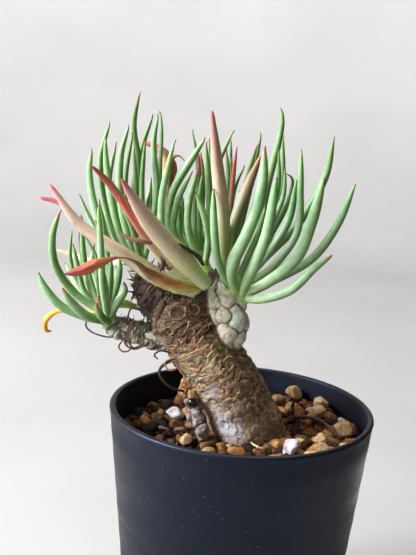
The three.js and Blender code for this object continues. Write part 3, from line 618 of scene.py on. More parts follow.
# What the bark covers: all but the root below the soil
STRETCHES = {
    "trunk": TRUNK, "right_branch": RIGHT_BRANCH, "right_crown": RIGHT_CROWN_STUB,
    "old_leaf_stub": OLD_LEAF_STUB, "middle_stub": MIDDLE_STUB, "centre_left_stub": CENTRE_LEFT_STUB,
    "upright_leaf_stub": UPRIGHT_LEAF_STUB, "left_branch": LEFT_BRANCH, "root_flare": ROOT_FLARE,
    "knotted_root": KNOTTED_ROOT,
}
BARK_GRID = 0.265

# Scars of fallen leaves near the trunk's top: place and radius
LEAF_SCARS = [
    [-18.8, -9.7, 100.4, 2.2], [-14.4, -8.4, 101.5, 1.6], [-25.0, -7.0, 97.0, 1.2], [-14.7, -11.1, 95.8, 0.8],
    [-20.3, -10.6, 95.2, 0.7], [-17.4, -11.4, 93.2, 0.6], [-23.5, -3.0, 89.5, 1.3], [-16.5, 5.6, 98.5, 2.0],
    [-9.5, 6.2, 95.0, 1.6], [-20.5, 5.2, 93.0, 1.5], [-12.4, 5.8, 88.5, 1.2], [-26.2, 2.2, 98.2, 1.4],
]

# Knots of the dead side root: place and size
ROOT_KNOTS = [
    [-15.6, -7.0, 80.4, 2.0], [-17.2, -7.2, 77.4, 2.2], [-13.6, -8.9, 77.2, 1.7], [-15.2, -9.4, 74.6, 1.5],
    [-12.2, -9.9, 71.2, 2.3], [-14.6, -8.6, 70.4, 1.8], [-9.8, -11.6, 68.2, 2.2], [-8.4, -9.6, 72.6, 1.6],
]

# Swellings under the leaf scars of the right branch: place and size. The front ones are the plant's own,
# and the rest go on round the back at the golden angle.
RIGHT_KNOBS = [
    [-1.9, -8.0, 99.2, 3.4], [-5.8, -9.0, 105.0, 2.4], [-9.6, -7.6, 103.6, 2.0], [-6.6, -9.4, 100.4, 2.4],
    [-10.0, -7.0, 98.9, 2.1], [-5.2, -8.9, 95.2, 3.0], [-0.8, -6.6, 93.8, 2.3], [0.2, -5.0, 104.0, 2.6],
    [0.8, -3.6, 97.0, 2.8],
]

# Blotches on the bark: place, radius and strength
PALE_BLOTCHES = [
    [-4.1, -10.9, 69.5, 3.4, 1.0], [-7.0, -10.0, 74.0, 2.4, 0.5], [-8.1, -11.2, 79.5, 2.6, 0.55],
    [-1.0, -11.5, 67.0, 2.5, 0.4], [-24.5, -6.0, 100.0, 1.6, 0.6], [8.0, 4.0, 70.0, 3.0, 0.5],
    [-6.0, 7.0, 80.0, 3.0, 0.6],
]
MOSS_BLOTCHES = [
    [-8.0, -11.0, 91.2, 1.9, 1.0], [-10.5, -11.5, 89.7, 1.4, 0.8], [-6.0, -9.5, 91.0, 1.2, 0.9],
    [-26.3, -7.0, 94.4, 1.5, 0.9], [-24.8, -7.2, 93.0, 1.2, 0.7], [-7.5, 5.5, 88.0, 2.5, 0.9],
    [-11.8, -11.9, 87.6, 1.0, 0.6],
]


def along_curve(path, shares, *widths):
    """Points at shares of the length of a centripetal Catmull-Rom curve through the path's points. Widths
    given at the path's points are carried along the same curve, and come back after the points."""
    at_points = np.column_stack([np.asarray(path, float), *[np.asarray(width, float) for width in widths]])
    first = 2 * at_points[0] - at_points[1]
    last = 2 * at_points[-1] - at_points[-2]
    held = np.vstack([first, at_points, last])
    gaps = np.sqrt(np.linalg.norm(np.diff(held[:, :3], axis=0), axis=1))[:, None]
    steps = np.linspace(0, 1, 30)[:, None, None]
    before, after, beyond = gaps[:-2], gaps[1:-1], gaps[2:]
    p0, p1, p2, p3 = held[:-3], held[1:-2], held[2:-1], held[3:]
    leave = ((p1 - p0) / before - (p2 - p0) / (before + after) + (p2 - p1) / after) * after
    arrive = ((p2 - p1) / after - (p3 - p1) / (after + beyond) + (p3 - p2) / beyond) * after
    curve = (p1 + leave * steps + (3 * (p2 - p1) - 2 * leave - arrive) * steps ** 2
             + (2 * (p1 - p2) + leave + arrive) * steps ** 3)
    curve = curve.transpose(1, 0, 2)[:, :-1].reshape(-1, at_points.shape[1])
    curve = np.vstack([curve, at_points[-1]])
    walked = np.concatenate([[0], np.cumsum(np.linalg.norm(np.diff(curve[:, :3], axis=0), axis=1))])
    found = np.stack([np.interp(shares, walked / walked[-1], column) for column in curve.T], axis=-1)
    return [found[:, :3], *found[:, 3:].T]


def length_of(points):
    """How long the way from point to point is."""
    return np.linalg.norm(np.diff(points, axis=0), axis=1).sum()


def square_to(points):
    """Two directions square to a curve at each of its points. flat is square to the plane in which the
    curve bends, and across lies in it."""
    tangent = one_long(np.gradient(points, axis=0))
    flattest = np.linalg.svd(points - points.mean(axis=0), full_matrices=False)[2][-1]
    flat = one_long(flattest - (tangent @ flattest)[:, None] * tangent)
    return np.cross(flat, tangent), flat, tangent


def round_rings(points, radii, sides, flatness=1, groove=0):
    """Rings round a curve: the radius turned through the angles in the plane square to the curve. groove
    sinks a shallow channel into the side that faces the inside of the bend."""
    across, flat, _ = square_to(points)
    angle = np.arange(sides) * 2 * np.pi / sides
    bend = np.gradient(np.gradient(points, axis=0), axis=0).sum(axis=0) @ across.mean(axis=0)
    inside = 0 if bend > 0 else np.pi
    away = np.abs((angle - inside + np.pi) % (2 * np.pi) - np.pi)
    channel = 1 - groove * np.exp(-(away / 0.55) ** 2)
    reach = np.asarray(radii)[:, None] * channel
    return (points[:, None] + (reach * np.cos(angle))[..., None] * across[:, None]
            + (reach * flatness * np.sin(angle))[..., None] * flat[:, None])


def tube(path, girths, steps, sides, flatness=1, wave=1, **traits):
    """A tube along the curve through the path's points. Its radii are the girths times the wave."""
    points, radii = along_curve(path, np.linspace(0, 1, steps), girths)
    return skin(round_rings(points, radii * wave, sides, flatness)[None], **traits)


def grown_wood():
    """The stretches as round skins, fused into one body by a voxel remesh and evened out at their joins.
    Returns its points and four-cornered faces."""
    skins = [tube(stretch["path"], stretch["girths"], 40, 48) for stretch in STRETCHES.values()]
    rough = new_piece("rough_wood", together(skins), None)
    remesh = rough.modifiers.new("fuse", "REMESH")
    remesh.mode = "VOXEL"
    remesh.voxel_size = BARK_GRID * MM
    even = rough.modifiers.new("even", "SMOOTH")
    even.factor = 0.5
    even.iterations = 10
    fused = rough.evaluated_get(bpy.context.evaluated_depsgraph_get()).to_mesh()
    points = np.empty(len(fused.vertices) * 3)
    fused.vertices.foreach_get("co", points)
    corners = np.empty(len(fused.loops), int)
    fused.loops.foreach_get("vertex_index", corners)
    bpy.data.objects.remove(rough)
    return points.reshape(-1, 3) / MM, corners.reshape(-1, 4)


def point_normals(points, quads):
    """The outward direction at each point: the sum of its faces' normals, made one long."""
    a, b, c, d = (points[quads[:, i]] for i in range(4))
    face = np.cross(c - a, d - b)
    total = np.zeros_like(points)
    for i in range(4):
        np.add.at(total, quads[:, i], face)
    return one_long(total)


def place_on(stretch, points):
    """Where points lie on a stretch: how far off its surface, how far along it in millimetres, the angle
    round it, and its radius there. The nearest of 60 places along it is found, and the rest is read from
    there."""
    shares = np.linspace(0, 1, 60)
    middles, radii = along_curve(stretch["path"], shares, stretch["girths"])
    across, flat, tangent = square_to(middles)
    best = np.full(len(points), np.inf)
    nearest = np.zeros(len(points), int)
    for i, middle in enumerate(middles):
        away = ((points - middle) ** 2).sum(axis=1)
        closer = away < best
        best[closer] = away[closer]
        nearest[closer] = i
    out = points - middles[nearest]
    beyond = (out * tangent[nearest]).sum(axis=1)
    angle = np.arctan2((out * flat[nearest]).sum(axis=1), (out * across[nearest]).sum(axis=1))
    along = shares[nearest] * length_of(middles) + beyond
    return np.sqrt(best) - radii[nearest], along, angle, radii[nearest]


def soft_spots(points, spots):
    """Sum of round blotches: each falls off from its middle as e to the minus square of the distance."""
    total = np.zeros(len(points))
    for x, y, z, radius, strength in spots:
        total += strength * np.exp(-((points - (x, y, z)) ** 2).sum(axis=1) / radius ** 2)
    return total


def band(value, width):
    """1 where the value is nought, falling to nought on both sides within about the width."""
    return np.exp(-(value / width) ** 2)


def nearest_two(points, knobs):
    """Distance to the nearest and the second nearest knob, each divided by that knob's size."""
    knobs = np.array(knobs)
    away = np.linalg.norm(points[:, None] - knobs[None, :, :3], axis=2) / knobs[:, 3]
    away.partition(1, axis=1)
    return away[:, 0], away[:, 1]


def knobs_round(stretch, count, size, start, stop):
    """Knobs at the golden angle round a stretch, evenly spaced between two shares of its length."""
    shares = start + (stop - start) * (np.arange(count) + 0.5) / count
    middles, radii = along_curve(stretch["path"], shares, stretch["girths"])
    across, flat, _ = square_to(middles)
    angle = np.arange(count) * GOLDEN_ANGLE
    out = np.cos(angle)[:, None] * across + np.sin(angle)[:, None] * flat
    return np.column_stack([middles + out * radii[:, None], np.full(count, size)])


def dressed_bark(points):
    """How far the bark stands out at each point, in millimetres, and the traits that its colours follow:
    ridge, the light edges of peeling bark; crevice, the dark of folds, grooves, seams, scars and the dead
    tissue on the left branch, partly the bark's own colour and partly painted shade in those recesses; grey
    and left, the branches' bark; dark, the dead crowns; pale and moss, the blotches; low and upper, the
    trunk's foot and head; and round_x, round_y and round_z, the place as unrolled from the trunk, for the
    fine grain to follow."""
    placed = {name: place_on(stretch, points) for name, stretch in STRETCHES.items()}
    names = list(placed)
    offs = np.stack([placed[name][0] for name in names])
    near = np.exp(-(offs - offs.min(axis=0)) / 0.18)
    near /= near.sum(axis=0)
    part = dict(zip(names, near))
    off = dict(zip(names, offs))
    old_side = np.clip(-10.5 - points[:, 0], 0, 1)
    right = part["right_branch"] + part["right_crown"] + part["old_leaf_stub"] * (1 - old_side)
    left = part["left_branch"]
    _, height, angle, radius = placed["trunk"]
    upper = np.clip((height - 34) / 6, 0, 1)
    lower = np.clip((22 - height) / 8, 0, 1)
    ragged = 0.9 * noise(points, 3.0, 20)
    dead = sum(part[name] for name in ("centre_left_stub", "middle_stub", "upright_leaf_stub"))
    dead += part["old_leaf_stub"] * old_side + part["trunk"] * np.clip(points[:, 2] - 102.6 + ragged, 0, 1)
    dead = np.clip(dead, 0, 1)
    knotted = part["knotted_root"]
    trunk = np.clip(1 - right - left - dead - knotted, 0, 1)

    # Round the trunk as (cosine, sine, height) in millimetres, so that a pattern closes on itself
    wrap = raised(polar(radius, angle), height)
    bend = 1.9 * noise(wrap, 8.0, 1) + 0.6 * noise(wrap, 2.8, 2)
    slant = raised(wrap[:, :2], height + bend)
    rings = noise(slant * (0.28, 0.28, 1), 1.1, 3)
    fine_rings = noise(slant * (0.38, 0.38, 1), 0.6, 4)
    swirl = noise(slant * (1, 1, 0.5), 1.5, 5)
    fine_swirl = noise(slant * (1, 1, 0.55), 0.75, 6)
    broad = noise(slant * (0.5, 0.5, 1), 5.0, 7)
    coarse = (1 - lower) * rings + lower * swirl
    fine = (1 - lower) * fine_rings + lower * fine_swirl
    patch = np.clip(0.65 + 1.2 * noise(wrap, 4.2, 15), 0.12, 1.2)
    edge = patch * np.maximum(band(coarse - 0.08, 0.07), 0.8 * band(fine - 0.05, 0.09))
    crease = np.maximum(band(coarse + 0.18, 0.09), 0.7 * band(fine + 0.22, 0.11))
    calm = 1 - 0.55 * lower
    peeled = 0.36 * calm * coarse + 0.2 * fine + 0.1 * calm * edge - 0.3 * calm * crease
    stand = trunk * (0.6 * broad + (0.25 + 0.75 * patch) * peeled)
    ridge = trunk * edge * (1 - 0.6 * upper) * (1 - 0.45 * lower)
    crevice = trunk * crease * (0.9 + 0.3 * upper - 0.4 * lower) * (0.45 + 0.55 * patch)

    # Leaf scars: a thin broken ring round a dished middle with a spot in it
    for number, (x, y, z, size) in enumerate(LEAF_SCARS):
        offset = points - (x, y, z)
        away = np.sqrt((offset ** 2).sum(axis=1) + 0.35 * offset[:, 2] ** 2)
        away = away + 0.35 * noise(points, 1.5, 30 + number)
        rim = band(away - size, 0.2) * np.clip(0.75 + 1.3 * noise(points, 1.8, 50 + number), 0.1, 1)
        within = np.clip((size - away) / 0.4, 0, 1)
        stand = stand * (1 - 0.7 * within) + 0.45 * rim - 0.25 * within * np.clip(1 - away / size, 0, 1)
        ridge = np.maximum(ridge * (1 - within), 0.95 * rim)
        dish = within * (0.25 + 0.5 * np.clip(noise(points, 0.7, 60) + 0.3, 0, 1))
        crevice = np.maximum(crevice * (1 - within), np.maximum(dish, 0.65 * band(away - size - 0.45, 0.25)))

    # Right branch: swollen leaf bases that meet in grooves, each with a small scar
    turned_on = knobs_round(RIGHT_BRANCH, 16, 2.5, 0.1, 0.95)
    behind = turned_on[turned_on[:, 1] > -3.6]
    bent = points + np.stack([noise(points, 3.2, seed) for seed in (71, 72, 73)], axis=-1) * 0.8
    first, second = nearest_two(bent, RIGHT_KNOBS + behind.tolist())
    groove = band(second - first, 0.15) * np.clip(0.9 + 0.6 * noise(points, 2.2, 74), 0.5, 1)
    seam = band(off["right_branch"] - off["trunk"], 0.4) * (off["right_branch"] < 1.2)
    scar = band(first - 0.2, 0.06) * np.clip(noise(points, 1.1, 75) + 0.6, 0, 1) + 0.7 * band(first, 0.09)
    dome = np.clip(1 - (first / 1.2) ** 2, 0, 1)
    fine_bark = noise(points, 0.9, 9)
    biggest = np.clip(1.3 - np.linalg.norm(points - RIGHT_KNOBS[0][:3], axis=1) / 3.0, 0, 1)
    stand += right * ((0.85 + 0.7 * biggest) * dome - 0.5 - 0.5 * groove + 0.12 * scar + 0.17 * fine_bark)
    stand -= 0.35 * seam
    crevice = np.maximum(crevice, right * np.clip(1.1 * groove + 0.4 * scar, 0, 1))
    # The seam where the right branch meets the trunk is darkened: painted shade in the gap between them
    crevice = np.maximum(crevice, 0.85 * seam)

    # Left branch: close lumps with dark folds that run round it, and dead tissue over its top
    _, reach, turn, girth = placed["left_branch"]
    round_left = raised(polar(girth, turn), reach)
    lump, next_lump = nearest_two(bent, knobs_round(LEFT_BRANCH, 15, 2.0, 0.25, 1.0))
    folds = noise(round_left * (0.3, 0.3, 1) + 0.3, 1.15, 10)
    fold = np.maximum(band(next_lump - lump, 0.2), 0.95 * band(folds, 0.2))
    over_top = np.clip((points[:, 2] - 94.0 - 0.08 * (points[:, 0] + 30) + 1.3 * ragged) / 1.0, 0, 1)
    stand += left * (0.75 * np.clip(1 - (lump / 1.2) ** 2, 0, 1) - 0.55 * fold + 0.35 * folds - 0.1)
    crevice = np.maximum(crevice, left * np.maximum(fold, 0.85 * over_top))

    # Dead side root: a row of knots with deep gaps between them
    knot, next_knot = nearest_two(bent, ROOT_KNOTS)
    gap = band(next_knot - knot, 0.16)
    stand += knotted * (0.9 * np.clip(1 - (knot / 1.2) ** 2, 0, 1) - 0.5 * gap + 0.25 * fine_bark - 0.3)
    crevice = np.maximum(crevice, knotted * np.maximum(gap, 0.7 * band(noise(points, 1.3, 16), 0.16)))

    # Dead crowns: cracked into small plates with lifted edges
    crack = noise(points * (1, 1, 0.7), 1.6, 11)
    crack_fine = noise(points, 0.8, 12)
    plate = np.maximum(band(crack, 0.1), 0.7 * band(crack_fine, 0.12))
    stand += dead * (0.9 * crack + 0.4 * crack_fine - 0.35 * plate)
    crevice = np.maximum(crevice, dead * (0.2 + 0.6 * plate))
    ridge = np.maximum(ridge, dead * 0.4 * band(crack - 0.3, 0.05))

    pale = np.clip(soft_spots(points, PALE_BLOTCHES) * (0.85 + 0.45 * noise(points, 1.8, 13)), 0, 1)
    moss = np.clip(soft_spots(points, MOSS_BLOTCHES) * (0.5 + 1.6 * noise(points, 0.8, 14)), 0, 1)
    buried = np.clip((SOIL_LEVEL - 2 - points[:, 2]) / 2, 0, 1)
    # The trunk's right side faces away from the light; its share paints a darker russet there as painted
    # shade
    trunk_middle = np.interp(points[:, 2], [60, 66, 82, 100], [6, 4, -5, -18])
    shade_side = np.clip((points[:, 0] - trunk_middle) / 7, -1, 1)
    traits = {"ridge": ridge, "crevice": crevice, "grey": np.clip(right + 0.85 * left, 0, 1), "left": left,
              "dark": dead, "knot": knotted, "knot_top": knotted * np.clip((points[:, 2] - 75) / 1.5, 0, 1),
              "pale": pale, "moss": moss, "low": lower, "upper": upper * trunk,
              "russet": 0.5 + 0.5 * shade_side, "bluish": right * biggest,
              "round_x": slant[:, 0], "round_y": slant[:, 1], "round_z": slant[:, 2]}
    return stand * (1 - buried), traits


def corky_bark(traits):
    """Cork bark that peels in papery edges: quite matt, brown with light straw edges and near-black folds,
    the folds' darkness partly painted shade. The branches' younger bark is a silvery grey-beige. Grain of
    0.3 mm, streaks of 0.4 mm that run round the trunk as the bark splits, and mottling of 1.2 and 4 mm. The
    side away from the light is painted a darker russet as painted shade."""
    material, tree, place = new_material("corky bark")
    trait = {name: trait_of(tree, name) for name in traits}
    unrolled = add_node(tree, "CombineXYZ", X=trait["round_x"], Y=trait["round_y"], Z=trait["round_z"])
    along_rings = add_node(tree, "Mapping", Vector=unrolled.outputs[0], Scale=(0.55, 0.55, 2.4))
    streak = add_node(tree, "TexNoise", Vector=along_rings.outputs[0], Scale=1.0, Detail=4.0,
                      Roughness=0.65).outputs[0]
    fleck_place = add_node(tree, "Mapping", Vector=unrolled.outputs[0], Scale=(1.1, 1.1, 1.9),
                           Location=(7, 3, 5))
    fleck = add_node(tree, "TexNoise", Vector=fleck_place.outputs[0], Scale=1.2, Detail=3.0, Roughness=0.6,
                     Distortion=1.2).outputs[0]
    mottle = mottling(tree, place, 4, 4.0, Roughness=0.6)
    speckle = mottling(tree, place, 1.2, 5.0, Roughness=0.7)
    grain = mottling(tree, place, 0.3, 3.0, Roughness=0.65)

    def held(value, factor, start=0.0):
        """The value times the factor plus the start, kept between 0 and 1."""
        return scaled(tree, value, factor, start, True)

    def both(one, other):
        """The product of two shares."""
        return worked(tree, "MULTIPLY", one, other)

    def line_at(value, level, width):
        """1 where the value is at the level, falling to 0 at the width from it: a line along its contour."""
        away = add_node(tree, "Math", operation="ABSOLUTE", in_0=worked(tree, "SUBTRACT", value, level))
        return held(away.outputs[0], -1 / width, 1.0)

    brown = ramp(tree, streak, [(0.3, "#2c1b13"), (0.42, "#634431"), (0.54, "#9a7350"), (0.7, "#cda87b")])
    russet = ramp(tree, streak, [(0.3, "#1b0f0a"), (0.5, "#43281b"), (0.65, "#69432e"), (0.8, "#946a49")])
    foot = ramp(tree, speckle, [(0.28, "#2e201b"), (0.45, "#5f483e"), (0.6, "#83695c"), (0.78, "#b6a498")])
    rusty = ramp(tree, speckle, [(0.3, "#1b1210"), (0.5, "#422a1f"), (0.68, "#734c38"), (0.8, "#9b7560")])
    lichen = ramp(tree, speckle, [(0.3, "#544f42"), (0.5, "#98937e"), (0.72, "#cbc7b2")])
    silver = ramp(tree, speckle, [(0.27, "#746a50"), (0.42, "#aea68c"), (0.56, "#cdc8b4"), (0.78, "#e4e1d3")])
    ashen = ramp(tree, speckle, [(0.3, "#574c40"), (0.5, "#b3ad9d"), (0.72, "#e6e3da")])
    knot = ramp(tree, speckle, [(0.3, "#3b2c2a"), (0.5, "#85746e"), (0.7, "#bdb0ab")])
    amber = ramp(tree, speckle, [(0.3, "#4a2c16"), (0.48, "#a06c38"), (0.62, "#c9a274"), (0.78, "#ecdcc4")])
    dead = ramp(tree, grain, [(0.3, "#0f0a09"), (0.5, "#362723"), (0.62, "#604b40"), (0.8, "#a8978c")])
    # Near black laid into folds, grooves, seams and scars: partly the bark's own colour, partly painted shade
    folds = over(tree, "#1d120d", "#352e18", held(trait["grey"], 0.85))
    straw = both(line_at(fleck, 0.53, 0.014), held(trait["grey"], -1.0, 1.0))

    # Laid over the brown one after the other, each by its share
    colour = brown
    for layer, share in (
        # The darker russet on the side away from the light is painted shade; lichen and the pale foot are
        # held off it
        (russet, held(trait["russet"], 1.1, -0.1)),
        (lichen, both(held(mottle, 6.5, -2.75), held(trait["russet"], -0.9, 1.1))),
        (foot, both(held(trait["low"], 0.75), held(trait["russet"], -0.7, 1.0))),
        (rusty, held(trait["upper"], 0.9)),
        ("#e3c79b", held(straw, 0.85)),
        ("#c99f68", both(line_at(streak, 0.6, 0.02), held(trait["grey"], -1.0, 0.75))),
        ("#20150f", both(line_at(streak, 0.42, 0.03), held(trait["grey"], -1.0, 0.8))),
        (silver, trait["grey"]),
        ("#7f5038", both(held(speckle, 12.0, -6.9), held(trait["grey"], 0.7))),
        ("#a3abb2", held(trait["bluish"], 0.7)),
        (ashen, held(trait["left"], 0.8)),
        ("#d09f6c", held(trait["ridge"], 0.85)),
        (knot, held(trait["knot"], 0.9)),
        (amber, held(trait["knot_top"], 0.85)),
        ("#b4b6c0", held(trait["pale"], 0.85)),
        (dead, held(trait["dark"], 0.95)),
        (folds, held(trait["crevice"], 0.88)),
        ("#4a5f20", held(trait["moss"], 0.85)),
    ):
        colour = over(tree, colour, layer, share)
    height = scaled(tree, streak, 1.4, grain)
    return finished(material, Base_Color=colour, Roughness=0.78, Normal=relief(tree, height, 0.7, 0.2),
                    Specular_IOR_Level=0.35)


wood_points, wood_quads = grown_wood()
wood_normals = point_normals(wood_points, wood_quads)
bark_stand, bark_traits = dressed_bark(wood_points)
wood_points = wood_points + bark_stand[:, None] * wood_normals
wood_normals = point_normals(wood_points, wood_quads)
bark = corky_bark(bark_traits)
wood = new_piece("trunk_and_branches", {
    "points": wood_points, "quads": wood_quads, "triangles": NO_TRIANGLES, **bark_traits}, bark)
root_points, root_radii = along_curve(ROOT["path"], np.linspace(0.05, 1, 24), ROOT["girths"])
root_skin = skin(round_rings(root_points, root_radii, 32)[None], **{name: 0.3 for name in bark_traits})
tap_root = new_piece("tap_root", root_skin, bark)
for piece in (wood, tap_root):
    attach(piece, "root")
    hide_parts("caudex")


# Loose bark and old fibres: papery strips half peeled off the trunk, wiry dead roots and leaf stalks on the
# branches, and scales of old leaf bases on the dead crowns, all still held by the bark at one end.
# Each is drawn a little thicker than life.
MEAN_TRUNK_RADIUS = 9.5
STRIPS = 250
SCALES = 330
# How many of the scales stand round the foot of the centre-left rosette, from this place up by this much
CROWN_SCALES = 70
CROWN_FOOT = np.array([-29.3, 1.8, 107])
CROWN_RISE = np.array([-1.5, 0.5, 6])
# Paths of the wiry pieces with their radii; how flat each is, where 1 is round; and the tone of its colour,
# from near black at -0.6 to straw at 1
WIRY_PIECES = [
    [[[-16, -7, 87.5], [-21.5, -10, 86], [-23, -10.5, 84], [-22, -10.5, 81.5], [-19, -10, 79], [-13, -6, 77]],
     [0.25, 0.42, 0.42, 0.38, 0.35, 0.25], 1, -0.35],
    [[[-32.5, -6, 93], [-32.5, -8, 98], [-31.5, -8.5, 100.5], [-29, -8.5, 100]],
     [0.28, 0.25, 0.2, 0.15], 1, -0.4],
    [[[-37, -5.5, 94.5], [-43.5, -5.5, 96], [-44.5, -5.5, 94], [-43, -6, 92.5], [-38, -7, 91.5],
      [-33, -6, 92]], [0.22, 0.26, 0.26, 0.26, 0.22, 0.2], 1, -0.2],
    [[[-25, -6, 91.5], [-28, -8.5, 90], [-30.5, -8.5, 89], [-33, -7.5, 90], [-32.5, -5, 91.5]],
     [0.22, 0.26, 0.26, 0.26, 0.22], 1, 0.0],
    [[[-33, -8, 92], [-34.6, -9, 89.6], [-33.4, -9.4, 88.4], [-31.6, -9, 88.8], [-31.6, -8.4, 90.8],
      [-33.2, -8.6, 91.6]], [0.18, 0.24, 0.24, 0.24, 0.2, 0.16], 1, 0.15],
    [[[-31, -8, 97.5], [-31.6, -9.2, 94], [-31.8, -9, 91], [-30.6, -8.6, 89.4], [-29, -7.6, 89.8]],
     [0.18, 0.24, 0.24, 0.24, 0.2], 1, 0.15],
    [[[-18.6, -9.6, 88], [-21.6, -10.6, 86.4], [-20.2, -11.4, 84.6], [-18, -11, 85.6], [-18.6, -11.2, 87.4],
      [-20.4, -11.6, 86.6]], [0.18, 0.24, 0.24, 0.24, 0.2, 0.16], 1, 0.35],
    [[[-20, -8.4, 88.6], [-23.2, -9.8, 89.4], [-24.6, -10, 88.2], [-23.6, -9.8, 87]],
     [0.2, 0.24, 0.24, 0.15], 1, -0.3],
    [[[-22.2, -6.4, 104], [-23.6, -8.8, 101.6], [-24.4, -9.4, 99], [-24.6, -8.6, 96.4]],
     [0.2, 0.24, 0.2, 0.08], 3, -0.1],
    [[[-25, -4, 104.4], [-28.2, -6.4, 103], [-29.8, -6.8, 101.4]], [0.18, 0.2, 0.1], 3, -0.2],
    [[[-16.2, -8.4, 104.2], [-19.4, -10, 102.8], [-21.6, -9.8, 101]], [0.2, 0.22, 0.15], 1.6, 0.2],
    [[[-7.6, -8.6, 87.2], [-10.6, -11.8, 91.6], [-14, -12.4, 90.4], [-17.2, -11.8, 88.4]],
     [0.25, 0.35, 0.35, 0.2], 0.5, 0.75],
    [[[-2.6, -10.4, 83], [-5.4, -12.2, 84.8], [-8.8, -12.8, 84.4], [-12.2, -12.2, 82.6]],
     [0.2, 0.28, 0.28, 0.2], 0.5, 0.75],
    [[[-18.8, -17.3, 120.8], [-16.6, -14.2, 118.8], [-14, -11.7, 116.6], [-12.6, -10.6, 114.2]],
     [0.2, 0.45, 0.5, 0.3], 1.5, -0.3],
    [[[-23.8, -13, 116.2], [-23, -13, 114.4], [-23.8, -12.4, 112.4]], [0.2, 0.65, 0.35], 1.4, -0.2],
    [[[-22.4, -12.6, 114.2], [-21.4, -12.8, 113], [-20.6, -12.6, 113.6]], [0.35, 0.4, 0.15], 1.4, 0.1],
]

# Bits on the soil, in the same way
LITTER = [
    [[[15.6, 8, 72.6], [15, 8.2, 70], [15.3, 8, 67.6], [16.2, 7.6, 66.2]], [0.3, 0.5, 0.55, 0.4], 1, -0.15],
    [[[15.5, 6.8, 67], [19, 6.4, 67.6], [23.2, 4.5, 67.4], [26.2, -1.5, 67.2], [28.2, -7.5, 67.4]],
     [0.35, 0.55, 0.5, 0.4, 0.2], 1, -0.3],
    [[[3.2, -15.4, 67.2], [4.8, -15.9, 66.4], [6.4, -15.6, 65.8]], [0.2, 0.5, 0.3], 0.5, 1.6],
    [[[-20.5, -10.5, 66.6], [-22, -11.5, 68], [-20, -12.8, 68.2], [-18.4, -12, 66.8], [-19.4, -10.8, 66]],
     [0.3, 0.5, 0.5, 0.5, 0.3], 1, -0.2],
    [[[-16, -12, 66.4], [-17.4, -12.8, 68.2], [-15.2, -13.6, 68.8], [-13.6, -12.6, 67]],
     [0.3, 0.55, 0.55, 0.3], 1, 0.0],
]


def nearest_bark(points):
    """The nearest point of the finished bark to each of the points, and the outward direction there."""
    found = np.empty(len(points), int)
    for start in range(0, len(points), 100):
        block = points[start:start + 100]
        away = ((wood_points[None] - block[:, None]) ** 2).sum(axis=2)
        found[start:start + 100] = away.argmin(axis=1)
    return wood_points[found], wood_normals[found]


def ribbons(spine, out, width, thickness, tone):
    """Tapered ribbons along spines of points, shape (ribbons, steps, 3): four-cornered rings with the width
    to each side, square to the outward direction, and the thickness above and below."""
    wide = one_long(np.cross(np.gradient(spine, axis=1), out)) * width[..., None]
    thick = out * thickness
    rings = np.stack([spine + wide, spine + thick, spine - wide, spine - thick], axis=2)
    return skin(rings[:, :, ::-1], tone=tone[:, None, None] + 0 * rings[..., 0])


def peeling_strips():
    """Papery strips on the trunk. Each follows a line round the trunk that rises and falls with its own
    slope, lies on the bark in its middle and lifts off it towards one end by the cube of the way."""
    random = np.random.default_rng(17)
    steps = 9
    way = np.linspace(-1, 1, steps)[None]
    height = random.uniform(8, 42, STRIPS)[:, None] + 4 * random.random((STRIPS, 1)) ** 2
    start = random.uniform(0, 2 * np.pi, STRIPS)[:, None]
    foot = np.clip((26 - height) / 8, 0, 1)
    length = random.uniform(0.8, 3.8, STRIPS)[:, None] * (1 - 0.6 * foot)
    slope = 0.15 + random.normal(0, 0.28, (STRIPS, 1)) + foot * random.normal(0, 0.8, (STRIPS, 1))
    curl = random.uniform(0.1, 0.75, STRIPS)[:, None] * random.choice([0.3, 0.7, 1], (STRIPS, 1))
    lift = curl * np.maximum(way, 0) ** 3 * (1 - 0.4 * foot)
    middles, radii = along_curve(TRUNK["path"], np.linspace(0, 1, 200), TRUNK["girths"])
    across, flat, _ = square_to(middles)
    walked = np.linspace(0, length_of(middles), 200)
    run = height + 0.5 * length * np.sin(slope) * way + 0.2 * np.sin(3 * way + 5 * start)
    angle = start + 0.5 * length * np.cos(slope) * way / MEAN_TRUNK_RADIUS
    at = run.ravel()
    columns = [np.interp(at, walked, column) for column in (*middles.T, radii, *across.T, *flat.T)]
    middle, radius = np.stack(columns[:3], axis=-1), columns[3]
    x_way, y_way = np.stack(columns[4:7], axis=-1), np.stack(columns[7:10], axis=-1)
    turn = angle.ravel()[:, None]
    guess = middle + (radius[:, None] + 0.4) * (np.cos(turn) * x_way + np.sin(turn) * y_way)
    on_bark, out = nearest_bark(guess)
    spine = (on_bark + out * (0.04 + lift.ravel()[:, None])).reshape(STRIPS, steps, 3)
    width = random.uniform(0.06, 0.2, (STRIPS, 1)) * np.sqrt(np.clip(1 - way ** 4, 0.05, 1))
    width = width * (1 - 0.4 * foot)
    tone = np.clip(random.uniform(-0.3, 1.15, STRIPS) - 0.3 * foot[:, 0], -0.3, 1)
    return ribbons(spine, out.reshape(STRIPS, steps, 3), width, 0.06, tone)


